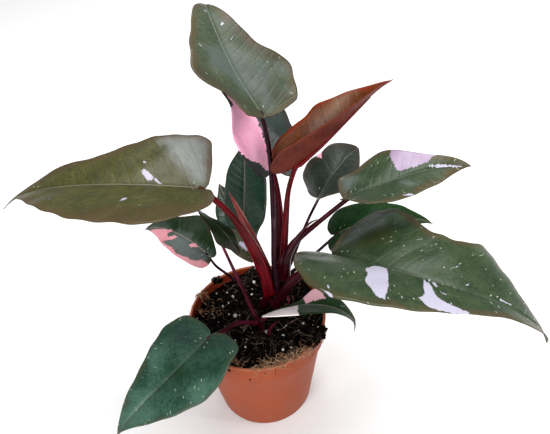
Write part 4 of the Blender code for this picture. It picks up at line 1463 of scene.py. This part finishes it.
print("soil at the middle:", round(soil_height(0, 0), 1), "mm")

# %% The soil's surface
SOIL_RINGS, SOIL_SPOKES = 70, 220
SOIL_EDGE = SKIRT_RADIUS - WALL - 0.2
SOIL_SIDES = (
    (SOIL_EDGE, 90), (pot_radius(84) - WALL - 0.4, 84), (pot_radius(3) - WALL - 0.4, 4.5),
)
SOIL_BOTTOM = 2.4


def soil_mesh():
    """Rings of points from the middle to the wall, then down it and in to the bottom."""
    turns = [2 * math.pi * spoke / SOIL_SPOKES for spoke in range(SOIL_SPOKES)]
    points, faces = [(0, 0, soil_height(0, 0))], []
    for ring in range(1, SOIL_RINGS + 1):
        radius = SOIL_EDGE * ring / SOIL_RINGS
        rough = min(1, (SOIL_EDGE - radius) / 2 + 0.3)
        for angle in turns:
            x, y = radius * math.cos(angle), radius * math.sin(angle)
            points.append((x, y, soil_height(x, y) + crumbly(x, y) * rough))
    top = len(points)
    for radius, height in SOIL_SIDES:
        points += [(radius * math.cos(angle), radius * math.sin(angle), height) for angle in turns]
    bottom = len(points)
    points.append((0, 0, SOIL_BOTTOM))
    last = bottom - SOIL_SPOKES
    for spoke in range(SOIL_SPOKES):
        after = (spoke + 1) % SOIL_SPOKES
        faces.append((0, 1 + spoke, 1 + after))
        for low in range(1, last, SOIL_SPOKES):
            high = low + SOIL_SPOKES
            faces.append((low + spoke, high + spoke, high + after, low + after))
        faces.append((last + spoke, bottom, last + after))
    mesh = new_mesh("soil_surface", points, [], faces)
    store(mesh, "crumbly", "FLOAT", [1.0 if k < top else 0.0 for k in range(len(points))])
    mesh.shade_smooth()
    return mesh


def wet_soil():
    finish = Finish("potting_mix")
    place = finish.place()
    cloudy = finish.grain(place, 160.0, 5.0, 0.7)
    fine = finish.grain(place, 900.0, 4.0, 0.7)
    base = finish.mix(cloudy.step(0.40, 0.75), (0.0012, 0.0008, 0.0007), (0.008, 0.004, 0.003))
    base = finish.mix(fine.step(0.66, 0.74) * 0.6, base, (0.070, 0.045, 0.026))
    return finish.finish(
        Base_Color=base, Roughness=0.75 + fine * 0.2, Specular_IOR_Level=0.04,
        Normal=finish.bump(fine + cloudy, 0.0012, 0.9),
    )


soil_finish = wet_soil()
soil = add_piece("potting_mix", soil_mesh(), "soil_black", ("soil",))
soil.data.materials.append(soil_finish)
print("soil faces:", len(soil.data.polygons))

# %% [markdown]
# ## Scatter crumbs and perlite
# Hundreds of loose grains are one rule: put points on the soil, and a lump on each, turned and
# sized at random. Geometry Nodes does that, and ends by making the copies real.

# %% Start, end and run a Geometry Nodes network
def begin_nodes(name, **kinds):
    """A network with these inputs besides the mesh, and the wires that come from them."""
    tree = bpy.data.node_groups.new(name, "GeometryNodeTree")
    for label, kind in {"Geometry": "Geometry", **kinds}.items():
        tree.interface.new_socket(label, in_out="INPUT", socket_type="NodeSocket" + kind)
    tree.interface.new_socket("Geometry", in_out="OUTPUT", socket_type="NodeSocketGeometry")
    net = Network(tree)
    source = tree.nodes.new("NodeGroupInput")
    return net, {socket.name: Wire(net, socket) for socket in source.outputs if socket.name}


def end_nodes(net, shape, material):
    """Makes copies real and gives them their material, as every network here has to."""
    real = net.add("GeometryNodeRealizeInstances", None, {"Geometry": shape})
    coloured = net.add("GeometryNodeSetMaterial", None, {"Geometry": real, "Material": material})
    net.add("NodeGroupOutput", None, {0: coloured})
    return net.tree


def run_nodes(piece, tree, **values):
    """Gives the piece this network with these inputs, and makes the result a plain mesh."""
    modifier = piece.modifiers.new("nodes", "NODES")
    modifier.node_group = tree
    for item in tree.interface.items_tree:
        if item.in_out == "INPUT" and item.name in values:
            modifier[item.identifier] = values[item.name]
    apply_modifiers(piece)
    piece.data.materials.clear()
    piece.data.materials.append(values["Material"])
    print(piece.name, len(piece.data.polygons), "faces")


# %% A lump, and a network that scatters it
FULL_TURN = 6.28
LUMP_GRAIN, LUMP_HEIGHT = 1.6, 0.75


def lump(name, seed, roughness, squash):
    mesh = bpy.data.meshes.new(name)
    ball = bmesh.new()
    bmesh.ops.create_icosphere(ball, subdivisions=1, radius=1.0)
    for vertex in ball.verts:
        push = 1 + roughness * noise.noise(vertex.co * LUMP_GRAIN + Vector((seed, 0, 0)))
        x, y, z = vertex.co
        vertex.co = Vector((x * push, y * push * squash, z * push * LUMP_HEIGHT))
    ball.to_mesh(mesh)
    ball.free()
    mesh.shade_smooth()
    return new_object(name, mesh)


def scatter_network():
    net, given = begin_nodes(
        "scatter_lumps", Lump="Object", Density="Float", Smallest="Float", Largest="Float",
        Seed="Int", Material="Material",
    )
    on_top = net.add("GeometryNodeInputNamedAttribute", {"data_type": "FLOAT"}, {"Name": "crumbly"})
    places = net.add("GeometryNodeDistributePointsOnFaces", None, {
        "Mesh": given["Geometry"], "Density": on_top * given["Density"], "Seed": given["Seed"],
    })
    turn = net.add("FunctionNodeRandomValue", {"data_type": "FLOAT_VECTOR"}, {
        0: (0.0, 0.0, 0.0), 1: (FULL_TURN, FULL_TURN, FULL_TURN), "Seed": given["Seed"],
    })
    size = net.add("FunctionNodeRandomValue", {"data_type": "FLOAT"}, {
        2: given["Smallest"], 3: given["Largest"], "Seed": given["Seed"],
    }, 1)
    shape = net.add("GeometryNodeObjectInfo", None, {"Object": given["Lump"]}, 4)
    grains = net.add("GeometryNodeInstanceOnPoints", None, {
        "Points": places, "Instance": shape, "Rotation": turn, "Scale": size,
    })
    return end_nodes(net, grains, given["Material"])


scatter = scatter_network()
print("nodes that scatter:", len(scatter.nodes))

# %% Crumbs, bark and perlite
def speckled(name, dark, light, scale, rough, depth):
    finish = Finish(name)
    place = finish.place()
    cloudy = finish.grain(place, scale, 4.0, 0.65)
    fine = finish.grain(place, scale * 5, 2.0)
    return finish.finish(
        Base_Color=finish.mix(cloudy.step(0.35, 0.70), dark, light), Specular_IOR_Level=0.08,
        Roughness=rough + fine * 0.15, Normal=finish.bump(cloudy + fine * 0.5, depth, 0.8),
    )


crumb_finish = speckled(
    "soil_crumbs", (0.0014, 0.0010, 0.0008), (0.011, 0.006, 0.004), 420.0, 0.72, 0.0006
)
bark_finish = speckled(
    "bark_bits", (0.030, 0.014, 0.008), (0.110, 0.058, 0.030), 380.0, 0.70, 0.0005
)
perlite_finish = speckled("perlite", (0.52, 0.52, 0.50), (0.86, 0.86, 0.84), 600.0, 0.75, 0.0004)
round_lump, long_lump = lump("round_lump", 1.0, 0.9, 0.9), lump("long_lump", 5.0, 0.8, 0.42)
for name, shape, density, smallest, largest_grain, seed, material in (
    ("crumbs", round_lump, 62000, 0.0007, 0.0019, 3, crumb_finish),
    ("bark_bits", long_lump, 11000, 0.0008, 0.0026, 11, bark_finish),
    ("perlite_grains", round_lump, 7500, 0.0004, 0.0011, 20, perlite_finish),
):
    run_nodes(
        add_piece(name, soil.data.copy(), "soil_black"), scatter, Lump=shape, Density=density,
        Smallest=smallest, Largest=largest_grain, Seed=seed, Material=material,
    )
for shape in (round_lump, long_lump):
    bpy.data.objects.remove(shape)


# %% [markdown]
# ## Clumps and fibres
# The mix holds coir, the brown fibre of a coconut husk. It sticks out in golden tufts at the front
# rim, hangs over it here and there, and thin roots lie on top everywhere. A fibre is a short walk
# that wanders at random and stays above the soil, and Geometry Nodes turns each walk into a tube.

# %% Clumps of mix on the rim
CLUMPS = (
    ((-37, 46, 106), 3.0), ((-34, 48, 104.5), 3.5), ((43, -38, 105), 3.5), ((48, -34, 106), 4.0),
    ((52, -28, 106), 4.5), ((55, -22, 105), 3.5), ((-25, -51, 103), 3.0),
)
LARGE_PERLITE = (
    ((-20, 9), 1.9), ((7, -13), 1.6), ((-28, -6), 1.2), ((-1, 39), 1.5), ((2, 55), 1.4),
    ((40, -9), 1.4), ((-4, 30), 1.1), ((-31, 22), 1.0), ((20, -38), 1.2), ((-12, -28), 1.0),
)
CLUMP_GRAIN = 2.2


def add_clumps(name, places, detail, roughness, material):
    """Rough balls at these places, as one piece."""
    ball = bmesh.new()
    for k, (place, radius) in enumerate(places):
        new = bmesh.ops.create_icosphere(ball, subdivisions=detail, radius=1.0)["verts"]
        for vertex in new:
            spot = vertex.co * CLUMP_GRAIN + Vector((k, 0, 0))
            rough = roughness * noise.fractal(spot, 1.0, 2.0, 4)
            vertex.co = (Vector(place) + vertex.co * radius * (1 + rough)) * MM
    mesh = bpy.data.meshes.new(name)
    ball.to_mesh(mesh)
    ball.free()
    mesh.materials.append(material)
    mesh.shade_smooth()
    add_piece(name, mesh, "soil_black")
    print(name, len(mesh.polygons), "faces")


add_clumps("rim_clumps", CLUMPS, 4, 0.55, soil_finish)
grains = [((x, y, soil_height(x, y) + 1.0), radius) for (x, y), radius in LARGE_PERLITE]
add_clumps("large_perlite", grains, 2, 0.35, perlite_finish)

# %% Where the fibres are
@dataclass
class Tuft:
    """A tangle of fibres, in mm. lean pulls them outwards and lift turns them up or down."""

    centre: tuple
    spread: tuple
    count: int
    length: float
    lift: float = 0.2
    lean: float = 0.0


COIR = (
    Tuft((4, -56, 106.5), (4, 1, 0.8), 22, 11), Tuft((16, -54, 107), (4, 1.2, 1.2), 42, 11),
    Tuft((27, -50.5, 107.5), (4, 1.5, 1.2), 42, 11), Tuft((40, -43, 106.5), (4, 1.5, 1), 24, 10),
    Tuft((9, -58, 107), (3, 1, 0.6), 9, 17, -0.8, 0.5),
    Tuft((40, -45, 107), (2, 1, 0.6), 8, 14, -0.8, 0.5),
    Tuft((-6, -58.5, 107), (2, 0.8, 0.5), 6, 12, -0.9, 0.5),
    Tuft((-50, 28, 99.5), (2, 1.5, 1.2), 24, 9), Tuft((-42, 28, 99), (4, 2, 1), 9, 10),
    Tuft((-50, 14, 98.5), (2, 1.5, 1), 14, 9), Tuft((-40, 14, 98), (4, 3, 1), 8, 10),
    Tuft((-20, -48, 103), (3.5, 2, 1.2), 22, 9),
)
ROOTS = (
    Tuft((-25, -52, 104), (1.2, 1, 1), 14, 16, -0.9, 0.5),
    Tuft((-20, 0, 99), (22, 24, 0.5), 80, 20), Tuft((20, -20, 99), (22, 22, 0.5), 90, 20),
    Tuft((10, 45, 104), (22, 8, 4), 40, 16), Tuft((-36, 47, 107), (1.5, 1.5, 1.5), 14, 10, 0.5),
    Tuft((48, -32, 107), (4, 3, 2), 20, 10, 0.3),
)
print("fibres:", sum(tuft.count for tuft in COIR + ROOTS))

# %% Fibres that wander
FIBRE_STEPS = 8
RIM_WIDTH, OUTSIDE = 3.0, 0.4
ABOVE_RIM, ABOVE_SOIL = 0.3, 0.6
START_REACH, FIBRE_REACH = 1.5, 2.5
TURN_SPREAD, CLIMB_SPREAD, CLIMB_KEPT, CLIMB_CHANGE = 0.5, 0.35, 0.85, (-0.04, 0.2)
LENGTH_SHARES, THICKNESS_SHARES, TIP_THINNING = (0.45, 1.2), (0.6, 1.5), 0.6


def ground(x, y):
    """The lowest a fibre may be here: the soil, the rim, or anything outside the pot."""
    radius = math.hypot(x, y)
    if radius > RIM_RADIUS + OUTSIDE:
        return 0.0
    if radius > RIM_RADIUS - RIM_WIDTH:
        return POT_HEIGHT + ABOVE_RIM
    return soil_height(x, y) + ABOVE_SOIL


def keep_near(point, reach):
    """Pulls the point back to this far outside the rim, if it has gone further."""
    point[:2] *= min(1, (RIM_RADIUS + reach) / np.linalg.norm(point[:2]))


def wander(tuft, dice):
    """The points of one fibre."""
    point = np.array(tuft.centre) + dice.normal(0, 1, 3) * tuft.spread
    keep_near(point, START_REACH)
    outwards = np.append(unit(point[:2]), 0) * tuft.lean
    heading, climb = dice.uniform(0, 2 * math.pi), dice.normal(tuft.lift, CLIMB_SPREAD)
    step = tuft.length * dice.uniform(*LENGTH_SHARES) / FIBRE_STEPS
    line = []
    for _ in range(FIBRE_STEPS + 1):
        point[2] = max(point[2], ground(point[0], point[1]))
        line.append(tuple(point))
        heading += dice.normal(0, TURN_SPREAD)
        climb = CLIMB_KEPT * climb + dice.normal(*CLIMB_CHANGE)
        level = math.cos(climb)
        ahead = [math.cos(heading) * level, math.sin(heading) * level, math.sin(climb)]
        point = point + step * unit(np.array(ahead) + outwards)
        keep_near(point, FIBRE_REACH)
    return line


def fibre_paths(name, tufts, seed):
    """All the fibres as bare edges, each with a thickness share that falls towards its end."""
    dice = np.random.default_rng(seed)
    points, edges, thin = [], [], []
    for tuft in tufts:
        for _ in range(tuft.count):
            first = len(points)
            points.extend(wander(tuft, dice))
            thick = dice.uniform(*THICKNESS_SHARES)
            for k in range(FIBRE_STEPS + 1):
                thin.append(thick * (1 - TIP_THINNING * k / FIBRE_STEPS))
            edges.extend((first + k, first + k + 1) for k in range(FIBRE_STEPS))
    mesh = new_mesh(name, points, edges, [])
    store(mesh, "thin", "FLOAT", thin)
    return mesh


print("points in a fibre:", FIBRE_STEPS + 1)

# %% Tubes on the paths of the fibres
FIBRE_SIDES = 5


def fibre_network():
    net, given = begin_nodes("tubes_on_paths", Thickness="Float", Sides="Int", Material="Material")
    path = net.add("GeometryNodeMeshToCurve", None, {"Mesh": given["Geometry"]})
    thin = net.add("GeometryNodeInputNamedAttribute", {"data_type": "FLOAT"}, {"Name": "thin"})
    circle = net.add("GeometryNodeCurvePrimitiveCircle", None, {
        "Resolution": given["Sides"], "Radius": given["Thickness"],
    })
    tube = net.add("GeometryNodeCurveToMesh", None, {
        "Curve": path, "Profile Curve": circle, "Scale": thin, "Fill Caps": True,
    })
    return end_nodes(net, tube, given["Material"])


tubes = fibre_network()
coir_finish = speckled("coir", (0.200, 0.100, 0.050), (0.520, 0.330, 0.200), 260.0, 0.70, 0.0003)
root_finish = speckled(
    "thin_roots", (0.012, 0.006, 0.004), (0.300, 0.215, 0.170), 60.0, 0.65, 0.0003
)
for name, tufts, seed, thickness, material in (
    ("coir_fibres", COIR, 4, 0.00024, coir_finish), ("thin_roots", ROOTS, 9, 0.00014, root_finish),
):
    piece = add_piece(name, fibre_paths(name, tufts, seed), "soil_black")
    run_nodes(piece, tubes, Thickness=thickness, Sides=FIBRE_SIDES, Material=material)


# %% [markdown]
# ## Hand every piece to the frame
# Each piece rides on the one body of the plant, and the CAD nodes that it stands for are hidden.

# %% Ride and replace
for piece, slot, replaced in made:
    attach(piece, "root")
    if replaced:
        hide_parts(*replaced)
faces = {piece.name: sum(len(p.vertices) - 2 for p in piece.data.polygons) for piece, _, _ in made}
print("pieces:", len(made), "triangles:", sum(faces.values()), "most in one:", max(faces.values()))
